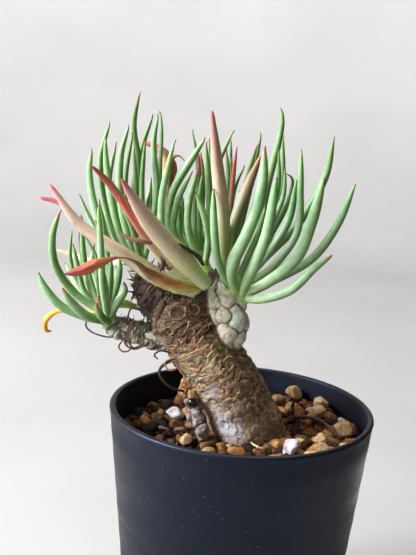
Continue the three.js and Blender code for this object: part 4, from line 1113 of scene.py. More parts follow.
def crown_scales():
    """Torn scales and stubs of old leaf bases on the dead crowns and over the left branch: each springs
    from a point of the bark and bends as it goes, by the square of the way."""
    random = np.random.default_rng(23)
    likely = bark_traits["dark"] + bark_traits["left"] * (0.25 + (wood_points[:, 2] > 94.0))
    chosen = random.choice(len(wood_points), SCALES - CROWN_SCALES, p=likely / likely.sum())
    turn = random.uniform(2.2, 5.6, CROWN_SCALES)
    rise = random.uniform(-0.2, 1, CROWN_SCALES)
    round_it = raised(polar(1, turn), 0)
    crown = CROWN_FOOT + rise[:, None] * CROWN_RISE + (3.3 - rise[:, None]) * round_it
    base = np.concatenate([wood_points[chosen], crown])
    out = np.concatenate([wood_normals[chosen], round_it])
    steps = 6
    way = np.linspace(0, 1, steps)[None, :, None]
    length = random.uniform(0.7, 2.7, (SCALES, 1, 1)) * np.where(random.random((SCALES, 1, 1)) < 0.15, 1.5, 1)
    lean = random.normal(0, 0.8, (SCALES, 3)) + (-0.15, -0.2, 0.3)
    bend = random.normal(0, 0.7, (SCALES, 3))
    start = one_long(out + lean * 0.8)
    bent = start[:, None] * way + 0.4 * bend[:, None] * way ** 2
    spine = base[:, None] - out[:, None] * 0.25 + length * bent
    face = one_long(np.cross(start, bend))
    width = random.uniform(0.12, 0.75, (SCALES, 1)) * (1 - 0.85 * way[..., 0] ** 1.5)
    pale_one = random.random(SCALES) < 0.2
    tone = np.where(pale_one, random.uniform(0.45, 1, SCALES), random.uniform(-0.6, 0.15, SCALES))
    return ribbons(spine, np.broadcast_to(face[:, None], spine.shape), width, 0.07, tone)


def wiry_pieces():
    """Fibres and flaps: an oval tube along each path with its own radii."""
    skins = []
    for path, girths, flatness, tone in WIRY_PIECES:
        ragged = 0.35 if flatness > 2 else 0.12
        wave = 1 + ragged * np.sin(np.linspace(0, 19, 44)) * np.cos(np.linspace(1, 9.3, 44))
        skins.append(tube(path, girths, 44, 12, flatness, wave, tone=tone))
    return together(skins)


def straw_cork():
    """Dry peeled cork and dead tissue: papery, matt, straw to near black by its tone, mottled at 0.6 mm."""
    material, tree, place = new_material("peeled cork")
    shade = scaled(tree, mottling(tree, place, 0.6, 3.0), 0.5, -0.25)
    tone = span(tree, worked(tree, "ADD", shade, trait_of(tree, "tone")), -0.7, 1.1)
    colour = ramp(tree, tone, [(0.0, "#130c0b"), (0.3, "#3a2520"), (0.5, "#6d452f"), (0.65, "#9a6c47"),
                               (0.8, "#bd9365"), (1.0, "#dfc396")])
    return finished(material, Base_Color=colour, Roughness=0.75)


def resin():
    """Dried sap: a black bead, smooth and glossy, a little dusty."""
    material, tree, place = new_material("dried sap")
    dust = mottling(tree, place, 0.8, 3.0)
    return finished(material, Base_Color=ramp(tree, dust, [(0.5, "#0a0809"), (0.8, "#3a302d")]),
                    Roughness=span(tree, dust, 0.45, 0.75, 0.12, 0.5))


def sap_bead():
    """The bead: a ball, whose rings' radius is the square root of 1 less the square of the way."""
    way = np.linspace(-0.98, 0.98, 18)
    middles, = along_curve([[-13.5, -8.5, 75.6], [-13.6, -11, 75.1]], 0.5 + 0.5 * way)
    return skin(round_rings(middles, 1.3 * np.sqrt(1 - way ** 2), 24)[None])


def fallen_litter():
    """Bits on the soil: two dry twigs, a pale chip and two curled scraps, as tubes along their paths."""
    wave = 1 + 0.15 * np.sin(np.linspace(0, 23, 30))
    return together([tube(path, girths, 30, 10, flatness, wave, tone=tone)
                     for path, girths, flatness, tone in LITTER])


cork = straw_cork()
strips = new_piece("peeling_strips", peeling_strips(), cork)
scales = new_piece("crown_scales", crown_scales(), cork)
fibres = new_piece("dead_fibres", wiry_pieces(), cork)
bead = new_piece("sap_bead", sap_bead(), resin())
for piece in (strips, scales, fibres, bead):
    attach(piece, "root")
    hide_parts("caudex")
litter = new_piece("fallen_litter", fallen_litter(), cork)
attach(litter, "root")
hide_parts("soil")


# Rosettes: four heads of finger-thin succulent leaves, each growing from a short crown. A leaf is a round
# tapering rod with a faint channel on its inner side, waxy and glaucous, and ends in a fine dry red-brown
# point. A leaf is given as its thickness, how high up the crown it starts, and the points that its middle
# runs through.
ROSETTES = {
  "rosette_right": {
    "crown": [[-2.5, -4, 103.5], [-4, -3, 110]],
    "crown_radii": [3.2, 1.7],
    "leaves": [
      [2.6, 0.1, [3.5, -8, 105.5], [11, -10, 109], [17, -10, 115.5], [21.5, -9, 119]],
      [2.5, 0.3, [8, 2, 109.5], [17, 5, 115], [23, 5, 124.5], [27, 3, 137]],
      [3.4, 0.2, [5, -6, 110], [12, -8, 117.5], [15, -9, 127], [17.5, -10, 139.5]],
      [2.5, 0.5, [3.5, 5, 114], [12, 8, 123.5], [19, 9, 137.5], [20.5, 8, 149]],
      [2.2, 0.4, [6, 0, 113], [12, 2, 122.5], [12, 2, 135.5], [11.5, 2, 145.5]],
      [3, 0.1, [0.5, -11, 114], [3.5, -14, 124], [4.5, -15, 132.5], [5, -15, 139.5]],
      [3.3, 0.2, [-5, -12, 114.5], [-1.5, -12, 124], [1.5, -9, 135], [1.5, -7, 146.5]],
      [2.2, 0.7, [1, 4, 120.5], [3, 6, 134], [6, 6, 152], [5.5, 5, 156]],
      [1.7, 0.8, [2.5, 8, 118.5], [7, 11, 132.5], [6.5, 10, 148.5]],
      [1.6, 0.7, [3, 1, 120.5], [7.5, 2, 132], [7.5, 2, 140.5]],
      [1.5, 0.9, [3, 5, 121.5], [6, 6, 133.5], [5.5, 5, 145]],
      [1.8, 0.6, [4.5, 10, 119], [9.5, 13, 130], [10, 13, 136], [8.5, 12, 137.5]],
      [2.3, 0.5, [4, 4, 115], [9.5, 5, 125], [11, 4, 137]],
      [2.2, 0.2, [-8.5, -13, 115.5], [-10, -15, 124], [-11, -14, 135.5]],
      [2, 0.7, [-1, -3, 115.5], [1.5, -5, 122.5], [3, -6, 130.5]],
      [1.8, 0.9, [-4, 12, 119], [-1.5, 15, 134], [0.5, 15, 148.5]],
      [1.8, 1, [-4.5, 8, 118], [-3, 11, 133], [-0.5, 10, 145.5]],
      [1.5, 0.9, [-7, 13, 120], [-6, 15, 132.5], [-3.5, 15, 139]],
      [1.3, 1, [-7.5, 10, 119], [-7.5, 11, 137.5], [-8, 10, 147]],
      [1.6, 0.8, [-7.5, 6, 121.5], [-8, 7, 136.5], [-9, 7, 144]],
      [1.6, 1, [-7, 6, 120], [-7, 7, 134.5], [-7.5, 7, 142]],
      [1.5, 0.9, [-6.5, 2, 120.5], [-6.5, 3, 134.5], [-6, 3, 145]],
      [2.6, 0.5, [1, 14, 111], [5.5, 24, 118.5], [7.5, 27, 126.5]],
      [2.6, 0.4, [-4.5, 15, 110.5], [-5, 26, 118], [-5, 30, 129.5]],
      [2.6, 0.3, [3.5, 13, 107.5], [11, 22, 110], [17.5, 27, 116.5]],
      [2.4, 0.3, [-6.5, 13, 109.5], [-8.5, 22, 114.5], [-8.5, 26, 123.5]],
    ],
  },
  "rosette_middle": {
    "crown": [[-12, 2.5, 108.5], [-15, 4, 115]],
    "crown_radii": [2.2, 1.6],
    "leaves": [
      [2, 0.2, [-24, 0, 119], [-25.5, -1, 128], [-24, -2, 139], [-22.5, -2, 146.5]],
      [2.5, 0.4, [-23, 5, 119], [-23.5, 5, 129.5], [-18.5, 5, 140], [-14.5, 4, 147]],
      [1.9, 0.4, [-21.5, 2, 119.5], [-21.5, 1, 128], [-17.5, 0, 138]],
      [1.2, 0.9, [-16.5, 15, 128], [-18, 17, 142], [-19.5, 17, 148]],
      [1.6, 1, [-16.5, 11, 127], [-16.5, 12, 136.5], [-17, 12, 142.5]],
      [1.4, 1, [-15, 13, 127], [-15.5, 14, 136], [-16.5, 14, 142]],
      [1.9, 0.6, [-12, 3, 121], [-13, 2, 132.5], [-14.5, 2, 146]],
      [1.2, 0.8, [-12.5, 9, 122], [-13, 10, 136], [-14, 9, 146.5]],
      [2.1, 0.5, [-17.5, 0, 120.5], [-18, -1, 128.5], [-16, 0, 139]],
      [1.4, 0.7, [-16, 2, 120], [-16.5, 2, 127], [-16.5, 2, 132.5]],
      [1.7, 0.8, [-15, 4, 119.5], [-15.5, 5, 128.5], [-15, 5, 137]],
      [1.4, 0.9, [-13.5, 4, 117], [-13.5, 5, 121.5]],
      [2, 0.3, [-12, -2, 119.5], [-13, -4, 125], [-16, -5, 133]],
      [1.6, 0.5, [-19.5, 8, 120.5], [-20.5, 9, 126.5], [-20.5, 9, 130]],
      [2.8, 0.3, [-20.5, 4, 118.5], [-21, 5, 123], [-21, 5, 127.5]],
      [1.5, 0.7, [-14, 16, 122], [-11.5, 18, 137.5], [-7.5, 17, 148.5]],
      [2.4, 0.4, [-18.5, 13, 114.5], [-22, 22, 120], [-22.5, 26, 129.5]],
      [2.4, 0.3, [-13.5, 14, 113.5], [-14.5, 24, 117], [-16.5, 28, 127]],
      [2.2, 0.1, [-20, 13, 112], [-25, 23, 111], [-28.5, 29, 115.5]],
    ],
  },
  "rosette_centre_left": {
    "crown": [[-29.5, 2.5, 107.5], [-32, 3, 113.5]],
    "crown_radii": [2.8, 1.7],
    "leaves": [
      [2.3, 0.3, [-39.5, 4, 115], [-44.5, 4, 125.5], [-46.5, 5, 135], [-46, 5, 142]],
      [1.9, 0.5, [-38.5, 6, 117], [-43, 8, 128.5], [-44, 8, 139], [-41.5, 7, 149.5]],
      [2.2, 0.4, [-36, 2, 117], [-39.5, 1, 128.5], [-41.5, 2, 139], [-42, 2, 145.5]],
      [1.5, 0.7, [-38, 11, 118], [-42, 13, 130.5], [-40.5, 13, 143.5]],
      [2.1, 0.5, [-34, -1, 118.5], [-36.5, -2, 129], [-37, -2, 140.5], [-35, -2, 149.5]],
      [1.5, 0.8, [-35, 5, 120], [-36.5, 6, 133.5], [-35, 6, 147]],
      [1.8, 0.9, [-32, 7, 122], [-33, 8, 137.5], [-35, 8, 148.5], [-33.5, 6, 158]],
      [1.6, 1, [-35, 10, 121.5], [-35, 12, 131], [-33, 12, 142], [-30, 11, 152]],
      [1.5, 0.8, [-31, 3, 121.5], [-31.5, 3, 134], [-31, 2, 145.5]],
      [1.4, 1, [-32.5, 5, 122.5], [-33.5, 5, 133.5], [-34.5, 5, 143]],
      [1.4, 0.9, [-35, 8, 123.5], [-34.5, 9, 132], [-34, 9, 140]],
      [1.9, 0.3, [-28.5, 4, 121.5], [-27.5, 4, 132], [-29, 5, 144], [-28, 5, 152.5]],
      [1.5, 0.5, [-27.5, 9, 121.5], [-27.5, 10, 138], [-27.5, 10, 148], [-28, 10, 153]],
      [1.5, 0.3, [-42, 10, 114], [-48, 12, 122.5], [-50.5, 12, 128]],
      [1.8, 0.4, [-32, -3, 119], [-33.5, -5, 124], [-36, -6, 128]],
      [1.4, 0.2, [-37.5, -1, 114.5], [-41.5, -2, 118], [-43.5, -1, 123]],
      [2.4, 0.4, [-35.5, 14, 114], [-41, 24, 120.5], [-43.5, 28, 130.5]],
      [2.4, 0.5, [-32, 15, 114.5], [-32, 25, 121], [-32, 29, 132]],
      [2.2, 0.2, [-36.5, 14, 110.5], [-43, 23, 112.5], [-46.5, 29, 120.5]],
      [1.6, 0.6, [-31.5, 8, 119], [-31, 10, 124.5], [-30, 10, 130]],
      [2.2, 0.2, [-33.5, 16, 111.5], [-36, 27, 113.5], [-37, 34, 119.5]],
    ],
  },
  "rosette_left": {
    "crown": [[-37.5, -5, 94.5], [-41, -4, 99.5]],
    "crown_radii": [2.6, 1.6],
    "leaves": [
      [2.5, 0.1, [-45.5, -8, 97.5], [-51, -10, 100.5], [-55, -11, 105.5], [-57, -11, 109.5]],
      [2.3, 0.5, [-47.5, -6, 103], [-52.5, -9, 111], [-53, -11.5, 119.5], [-51, -12, 127]],
      [2.6, 0.1, [-44, -12, 99], [-47.5, -14, 103], [-49.5, -15, 106.5]],
      [1.3, 0.7, [-47.5, 0, 103.5], [-50.5, 1, 111], [-50.5, 2, 119]],
      [1.5, 0.6, [-45.5, -3, 103], [-47.5, -4, 110.5], [-49, -4, 116.5]],
      [1.7, 0.8, [-44, -2, 103.5], [-46.5, -1, 113.5], [-47.5, 0, 124]],
      [1, 0.9, [-46, 3, 103.5], [-48, 4, 111.5], [-49, 4, 118.5]],
      [1.9, 0.2, [-39, -13, 107.5], [-39.5, -15, 118], [-40.5, -15, 129.5]],
      [2.1, 0.2, [-38.5, -10, 102.5], [-38.5, -12, 107], [-39, -12, 111]],
      [1.7, 0.6, [-38, -7, 103], [-37.5, -9, 109.5], [-37.5, -9.5, 114.5]],
      [2.2, 0.2, [-35.5, -9, 102], [-33.5, -9, 105.5], [-34, -9, 108]],
      [2.2, 0, [-39.5, -12, 99], [-40.5, -13, 101.5], [-40.5, -13, 102.5]],
      [1.4, 0.8, [-42, -3, 101], [-44, -2, 106], [-45.5, -1, 111]],
      [1.6, 0.4, [-40.5, -7, 100.5], [-41, -8, 103.5]],
      [1.9, 0.5, [-37, -3, 103.5], [-36, -3, 109.5], [-36.5, -2, 114]],
      [1.5, 0.8, [-39.5, 0, 107.5], [-41, 1, 118.5], [-43, 1, 128.5]],
      [1.3, 0.9, [-41.5, -5, 105.5], [-42, -5, 110.5], [-42.5, -5, 114]],
      [1.1, 0.8, [-41, 3, 104], [-44, 5, 111.5], [-47.5, 6, 117]],
      [2.2, 0.6, [-43, 7, 100], [-46.5, 14, 105], [-46.5, 16, 113]],
      [2.2, 0.6, [-45.5, 6, 98.5], [-51, 13, 101.5], [-55, 17, 106.5]],
      [2, 0.6, [-40.5, 6, 99.5], [-39.5, 14, 103], [-39, 18, 108.5]],
    ],
  },
}
ROOT_DEPTH = 0.4
LEAF_SIDES = 18
LEAF_RINGS = 34
LEAF_CHANNEL = 0.1
# Leaves reddened by the sun: the first point of each, and how far from its tip it is red
BLUSHED_LEAVES = {(-6.5, 2, 120.5): 22, (-16.5, 11, 127): 7, (-15, 13, 127): 6, (-4.5, 8, 118): 3}
# Where most light comes from, for the painted light and shade on the leaves
LIGHT_SIDE = np.array([-0.72, -0.3, 0.62])


def leaf_shape(leaf, crown, crown_radii, number):
    """One leaf: rings round the curve from its root in the crown through its points. The radius is half the
    thickness, 0.8 of it at the root, full from a quarter of the length on, and narrowing over the last two
    thirds with (1 - way^4)^0.7; the last millimetre draws out to a fine point."""
    thickness, place, *points = leaf
    bottom, top = np.array(crown, float)
    root = bottom + (top - bottom) * place
    outward = np.array(points[0], float) - root
    root = root + outward / np.linalg.norm(outward) * ROOT_DEPTH * crown_radii[1]
    shares = 1 - (1 - np.linspace(0, 1, LEAF_RINGS)) ** 1.25
    middles, = along_curve([root, *points], shares)
    narrowing = (1 - np.clip((shares - 0.35) / 0.65, 0, 1) ** 4) ** 0.7
    base = 0.8 + 0.2 * np.clip(shares / 0.25, 0, 1)
    random = np.random.default_rng(number)
    phase = random.uniform(0, 2 * np.pi, 2)
    uneven = 1 + 0.018 * np.sin(9 * shares + phase[0]) + 0.012 * np.sin(21 * shares + phase[1])
    to_tip = (1 - shares) * length_of(middles)
    drawn = np.clip(to_tip / 0.9, 0, 1) ** 0.7
    radii = np.maximum(0.5 * thickness * base * narrowing * uneven, 0.16 * drawn + 0.05)
    hook = random.uniform(0, 2 * np.pi)
    middles = middles + 0.4 * np.clip(1 - to_tip / 1.6, 0, 1)[:, None] ** 2 * [np.cos(hook), np.sin(hook), 0]
    rings = round_rings(middles, radii, LEAF_SIDES, groove=LEAF_CHANNEL)
    # How far each point faces the light, which the leaf colour follows for painted light and shade
    lit = 0.5 + 0.5 * one_long(rings - middles[:, None]) @ LIGHT_SIDE
    fresh = np.clip(0.1 + 0.65 * place ** 1.5 + random.uniform(-0.2, 0.2), 0, 1)
    usual_blush = random.choice([0.8, 1.2, 1.8, 2.6], p=[0.35, 0.35, 0.2, 0.1])
    blush = BLUSHED_LEAVES.get(tuple(points[0]), usual_blush)
    return skin(rings[None], along=shares[:, None], to_tip=to_tip[:, None], fresh=fresh, blush=blush, lit=lit)


def rosette_skin(rosette, seed):
    """A crown, as a short cone, and all its leaves."""
    crown, radii = rosette["crown"], rosette["crown_radii"]
    core = tube(crown, radii, 8, 20, along=0.0, to_tip=30.0, fresh=0.5, blush=1.0, lit=0.5)
    leaves = [leaf_shape(leaf, crown, radii, seed * 100 + number)
              for number, leaf in enumerate(rosette["leaves"])]
    return together([core, *leaves])


def glaucous_leaf():
    """Living succulent leaf: green flesh that light enters by a millimetre or so, under a mat of wax that
    makes it mint-coloured and softly shiny. The wax is thin on young leaves. The side away from the light is
    painted greener and darker as painted shade, and the lit side paler with a painted highlight. Paler at the
    root, mottled every 1.5 mm, dry and red-brown at the tip."""
    material, tree, place = new_material("glaucous leaf")
    along, to_tip, lit = (trait_of(tree, name) for name in ("along", "to_tip", "lit"))
    waxy = ramp(tree, along, [(0.0, "#dfe8cb"), (0.12, "#c8dcb5"), (0.35, "#adcca2"), (0.75, "#8db586"),
                              (0.95, "#84a96b")])
    green = ramp(tree, along, [(0.0, "#88a73c"), (0.15, "#638a26"), (0.5, "#4a7118"), (0.9, "#53751d")])
    swing = scaled(tree, mottling(tree, place, 7, 2.0), 0.6, -0.32)
    fresh = worked(tree, "ADD", trait_of(tree, "fresh"), swing)
    # Greener and darker away from the light as painted shade, and a pale painted highlight on the lit side
    flesh = over(tree, waxy, green, worked(tree, "ADD", fresh, span(tree, lit, 0.66, 0.24, 0.0, 0.92), True))
    with_painted_highlight = over(tree, flesh, "#d3e6ca", span(tree, lit, 0.7, 1.0, 0.0, 0.2))
    tint = ramp(tree, mottling(tree, place, 1.5, 3.0), [(0.3, "#e0eada"), (0.7, "#ffffff")])
    mottled = over(tree, with_painted_highlight, tint, blend_type="MULTIPLY")
    redness = worked(tree, "DIVIDE", to_tip, trait_of(tree, "blush"))
    reddened = over(tree, mottled, "#9c4b40", span(tree, redness, 1.25, 0.35))
    tipped = over(tree, reddened, "#4b2e24", span(tree, to_tip, 0.9, 0.35))
    cells = mottling(tree, place, 0.3, 2.0)
    return finished(material, Base_Color=tipped, Roughness=0.42, Normal=relief(tree, cells, 0.25, 0.05),
                    Specular_IOR_Level=0.45, Sheen_Weight=0.1, Sheen_Roughness=0.5,
                    Sheen_Tint=linear("#eef6ee"), Subsurface_Weight=0.1, Subsurface_Radius=(0.8, 1.0, 0.4),
                    Subsurface_Scale=0.8 * MM)


living_leaf = glaucous_leaf()
for seed, (name, rosette) in enumerate(ROSETTES.items(), 1):
    leaves = new_piece(name.replace("rosette", "leaves"), rosette_skin(rosette, seed), living_leaf)
    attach(leaves, "root")
    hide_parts(name)


# Single leaves: last season's leaves, drawn dry from the tip down, and a few stray ones beside the heads.
# Each keeps its place and girths from the solid. Their skin is loose, so it is finely wrinkled lengthwise.
# upper and under are the colours along the leaf, from its root (0) to its tip (1), on the side that faces up
# or forwards and on the other. On a leaf with a painted lit side they face toward the light and away from it
# instead, as painted light and painted shade. freckles is how strongly brown spots show.
SINGLE_LEAVES = {
  "old_leaf_broad": {
    "path": [[-11.5, -9, 108.5], [-19, -14, 117], [-27, -20, 127], [-33, -28, 138]],
    "girths": [1.9, 2.7, 2.2, 0.4], "slot": "old_leaf", "wrinkle": 0.02, "freckles": 0.55,
    "upper": [(0.0, "#96a76f"), (0.22, "#a5a56b"), (0.42, "#a89a76"), (0.62, "#ab9680"), (0.87, "#ae877b"),
              (0.97, "#b8606a")],
    "under": [(0.0, "#b5c48f"), (0.22, "#bcc08c"), (0.42, "#beb293"), (0.62, "#c4ab94"), (0.87, "#be9688"),
              (0.97, "#c26670")],
  },
  "old_leaf_upright": {
    "path": [[-6.5, -2, 107.5], [-7.5, -5, 116], [-8.5, -10, 129], [-10.5, -16, 143], [-12, -22, 155.5]],
    "girths": [1.5, 1.8, 2, 1.5, 0.35], "painted_lit_side": "left", "slot": "old_leaf", "wrinkle": 0.02,
    "freckles": 0.35,
    "upper": [(0.0, "#7f9058"), (0.25, "#9da876"), (0.42, "#c4c3a0"), (0.62, "#cfc0a6"), (0.8, "#c0a08e"),
              (0.93, "#ae7c72"), (0.985, "#a84a50")],
    "under": [(0.0, "#566838"), (0.3, "#757844"), (0.45, "#867a52"), (0.65, "#93755b"), (0.87, "#996b5e"),
              (0.98, "#a04c50")],
  },
  "old_leaf_olive": {
    "path": [[-5, -6, 111.5], [-5.5, -5, 122], [-2.5, -4, 134], [1, -2, 144]],
    "girths": [1.2, 1.6, 1.6, 0.35], "painted_lit_side": "left", "slot": "old_leaf", "wrinkle": 0.03,
    "freckles": 0.3,
    "upper": [(0.0, "#7d9a63"), (0.3, "#8b9d7a"), (0.6, "#8d8c6e"), (0.85, "#8a6e52"), (0.97, "#a4685c")],
    "under": [(0.0, "#46582c"), (0.35, "#5a5a2c"), (0.7, "#66542e"), (0.92, "#6e4a3a"), (0.98, "#8f4a48")],
  },
  "withered_leaf": {
    "path": [[-13.5, -8.5, 106.8], [-20.5, -15, 109.2], [-26.5, -18, 112.8], [-30.5, -19, 116],
             [-34.7, -20, 116.6], [-39, -21, 115], [-43.5, -22, 113], [-47.5, -23, 112]],
    "girths": [1.2, 1.9, 1.3, 0.4, 0.35, 1.45, 1.4, 0.4], "slot": "withered_leaf", "wrinkle": 0.14,
    "freckles": 0.7,
    "upper": [(0.0, "#bcb75c"), (0.15, "#c99c45"), (0.3, "#b0743f"), (0.42, "#6b4030"), (0.54, "#4f2f26"),
              (0.64, "#75442c"), (0.8, "#a05b34"), (0.94, "#9e4239"), (0.985, "#3a2420")],
    "under": [(0.0, "#c6cc8a"), (0.2, "#c3c684"), (0.32, "#b8a562"), (0.42, "#775040"), (0.54, "#5d3c2e"),
              (0.64, "#8f5a3c"), (0.8, "#b06c42"), (0.94, "#a84c40"), (0.985, "#3a2420")],
  },
  "old_leaf_long": {
    "path": [[-14.5, -8, 106.5], [-24, -10.5, 110], [-35, -10.5, 116.5], [-46, -9, 122.5], [-55, -8, 133]],
    "girths": [2, 2.5, 1.9, 1.6, 0.5], "slot": "old_leaf", "wrinkle": 0.03, "freckles": 0.5,
    "upper": [(0.0, "#98a770"), (0.25, "#989b6c"), (0.42, "#9c8d6c"), (0.62, "#a8957f"), (0.86, "#ab8f80"),
              (0.97, "#ae6264")],
    "under": [(0.0, "#b7c296"), (0.25, "#b0b48b"), (0.42, "#b4a88b"), (0.62, "#bfae9a"), (0.86, "#c0a698"),
              (0.97, "#b8706e")],
  },
  "old_leaf_crimson": {
    "path": [[-14, -7, 107.5], [-22.5, -8, 114], [-31.5, -13, 126.5], [-37.5, -20, 136], [-41, -25, 140.5]],
    "girths": [1.3, 1.8, 1.4, 0.9, 0.3], "slot": "red_leaf", "wrinkle": 0.03, "freckles": 0.3,
    "upper": [(0.0, "#bccf9f"), (0.3, "#c2c8a3"), (0.48, "#b7a183"), (0.64, "#a2755a"), (0.82, "#9a5740"),
              (0.94, "#a83a3e")],
    "under": [(0.0, "#cdddb8"), (0.32, "#d0d5b8"), (0.5, "#c8b49a"), (0.66, "#b4866b"), (0.84, "#a86650"),
              (0.95, "#b0424a")],
  },
  "old_leaf_thin_red": {
    "path": [[-14.5, -8, 108], [-23, -10, 114.5], [-29, -15, 122.5], [-34.5, -20, 132.5]],
    "girths": [0.7, 0.8, 0.8, 0.4], "slot": "red_leaf", "wrinkle": 0.03, "freckles": 0.3,
    "upper": [(0.0, "#b9b98b"), (0.4, "#c59f85"), (0.65, "#b35f54"), (0.9, "#bb3841")],
    "under": [(0.0, "#c5cba0"), (0.5, "#ceb196"), (0.8, "#c06259"), (0.95, "#bb3841")],
  },
  "old_leaf_red_hook": {
    "path": [[-28, -0.5, 107.6], [-40, -3, 116.8], [-48, -4, 122.7], [-53, -4, 127.4], [-58.5, -4, 128.5]],
    "girths": [0.7, 0.8, 0.8, 0.7, 0.5], "slot": "red_leaf", "wrinkle": 0.04, "freckles": 0.3,
    "upper": [(0.0, "#a2a877"), (0.4, "#b39880"), (0.75, "#a9655c"), (0.95, "#a63f49")],
    "under": [(0.0, "#bcc190"), (0.4, "#c9ae96"), (0.75, "#c78d84"), (0.95, "#b95560")],
  },
  "pale_pink_leaf": {
    "path": [[-35.5, 10, 109.5], [-45, 20, 106], [-53, 24, 107], [-59.5, 25, 108.5]],
    "girths": [0.8, 1, 1, 0.4], "slot": "old_leaf", "wrinkle": 0.03, "freckles": 0.1,
    "upper": [(0.0, "#a9b47c"), (0.4, "#c9b594"), (0.8, "#d3ab92"), (0.97, "#cf9480")],
    "under": [(0.0, "#b9bf92"), (0.5, "#d0bfa4"), (0.95, "#d3aa94")],
  },
  "yellow_green_leaf": {
    "path": [[-38.5, -1, 98], [-36.5, 1, 99], [-34, 3, 98.5], [-30.5, 4, 97]],
    "girths": [0.8, 1.3, 1.2, 0.4], "slot": "yellow_leaf", "wrinkle": 0.03, "freckles": 0.1,
    "upper": [(0.0, "#d0e07c"), (0.5, "#cadd76"), (0.9, "#d9d673")],
    "under": [(0.0, "#dbe79c"), (0.5, "#d3e288"), (0.9, "#e0dc84")],
  },
  "yellow_curled_leaf": {
    "path": [[-42.5, -2, 96.5], [-49, 2, 96], [-54.5, 3, 95], [-57.5, 3, 92], [-57.5, 4, 89], [-56, 5, 88.5]],
    "girths": [0.6, 0.8, 0.8, 0.8, 0.6, 0.4], "slot": "yellow_leaf", "wrinkle": 0.04, "freckles": 0.15,
    "upper": [(0.0, "#b9b545"), (0.4, "#dca539"), (0.75, "#dc9631"), (0.97, "#bd7c34")],
    "under": [(0.0, "#c7c76a"), (0.5, "#e6b54f"), (0.95, "#cd9140")],
  },
  "dry_curl": {
    "path": [[-26, -17, 120.5], [-29, -18, 121], [-31.5, -18, 121.5], [-34.5, -17, 122.5]],
    "girths": [0.5, 0.6, 0.6, 0.4], "slot": "dry_leaf", "wrinkle": 0.12, "freckles": 0.5,
    "upper": [(0.0, "#4e3528"), (0.5, "#75503d"), (0.9, "#533529")],
    "under": [(0.0, "#6d4b39"), (0.5, "#8d6751"), (0.9, "#5d4034")],
  },
  "papery_leaf": {
    "path": [[-25, 5, 104], [-26, 12, 114], [-26, 18, 124], [-25.8, 20, 132], [-26.2, 20, 137],
             [-28, 20, 140.5], [-31.3, 20, 142.6], [-35, 20, 142.9]],
    "girths": [1, 1.3, 1.7, 2.3, 2.4, 1.6, 0.9, 0.4], "slot": "dry_leaf", "wrinkle": 0.12, "freckles": 0.6,
    "painted_lit_side": "left",
    "upper": [(0.0, "#8a6a3c"), (0.35, "#b59a6a"), (0.6, "#d3b98d"), (0.8, "#c79a6b"), (0.88, "#b8877a"),
              (0.97, "#c0606a")],
    "under": [(0.0, "#6c4c2a"), (0.4, "#7b5229"), (0.6, "#7a4a24"), (0.78, "#8f6330"), (0.9, "#b06f60")],
    "hook": [[-25.2, 19.4, 138.2], [-24.2, 19.2, 139.7], [-22.8, 19, 139.9], [-21.3, 19, 138.6]],
  },
}

# Which way the side with the upper colours faces: up for most leaves, and toward the light at the left for
# those with a painted lit side, whose upper colours are painted light and under colours painted shade
PALE_UP = np.array([0.25, -0.2, 0.95])
PAINTED_LIT_LEFT = np.array([-0.93, -0.35, 0.1])


def spent_leaf_skin(leaf, number):
    """Rings round the leaf's curve, with its own girths. Lengthwise wrinkles are a noise that is stretched
    along the leaf and sunk into it by the wrinkle's share of the radius. One leaf has a thin hook besides."""
    sides, count = 28, 60
    shares = 1 - (1 - np.linspace(0, 1, count)) ** 1.15
    middles, radii = along_curve(leaf["path"], shares, leaf["girths"])
    length = length_of(middles)
    to_tip = (1 - shares) * length
    radii = radii * np.clip(np.sqrt(to_tip / 1.2) * 0.8 + 0.12, 0, 1)
    rings = round_rings(middles, radii, sides, groove=0.12)
    out = rings - middles[:, None]
    angle = np.arange(sides) * 2 * np.pi / sides
    walked = (0.22 * shares * length)[:, None] + 50 * number
    field = raised(np.broadcast_to(polar(1.3, angle), (count, sides, 2)), walked)
    crease = noise(field.reshape(-1, 3), 0.55, 40).reshape(count, sides)
    rings = middles[:, None] + out * (1 + leaf["wrinkle"] * (1.6 * crease - 0.5))[..., None]
    # A leaf with a painted lit side takes its upper colours facing the light as painted light, its under as
    # painted shade
    painted_lit_left = leaf.get("painted_lit_side") == "left"
    facing = one_long(out) @ (PAINTED_LIT_LEFT if painted_lit_left else PALE_UP) - 0.25 * painted_lit_left
    made = skin(rings[None], along=shares[:, None], facing=0.5 + 0.5 * facing, crease=0.5 + 0.5 * crease)
    if "hook" not in leaf:
        return made
    hook = tube(leaf["hook"], [0.6, 0.45, 0.25, 0.12], 16, 10, along=0.4, facing=0.5, crease=0.15)
    return together([made, hook])


def spent_leaf(name, leaf):
    """Drying leaf: duller and less see-through than a living one, its colour drawn back from the tip in
    uneven steps. Brown freckles of 0.5 mm, and darker wrinkles."""
    material, tree, place = new_material(name.replace("_", " "))
    spots = mottling(tree, place, 0.7, 4.0, Roughness=0.7)
    wander = scaled(tree, mottling(tree, place, 2.6, 3.0), 0.16, -0.08)
    share = worked(tree, "ADD", trait_of(tree, "along"), wander, True)
    both = over(tree, ramp(tree, share, leaf["under"]), ramp(tree, share, leaf["upper"]),
                span(tree, trait_of(tree, "facing"), 0.35, 0.75))
    freckled = over(tree, both, "#7a4a30", span(tree, spots, 0.56, 0.68, 0.0, leaf["freckles"]))
    folded = span(tree, trait_of(tree, "crease"), 0.45, 0.2, 0.0, 4 * leaf["wrinkle"])
    return finished(material, Base_Color=over(tree, freckled, "#5b3724", folded), Roughness=0.55,
                    Normal=relief(tree, spots, 0.3, 0.12), Specular_IOR_Level=0.35, Subsurface_Weight=0.08,
                    Subsurface_Radius=(1.0, 0.6, 0.35), Subsurface_Scale=0.9 * MM)


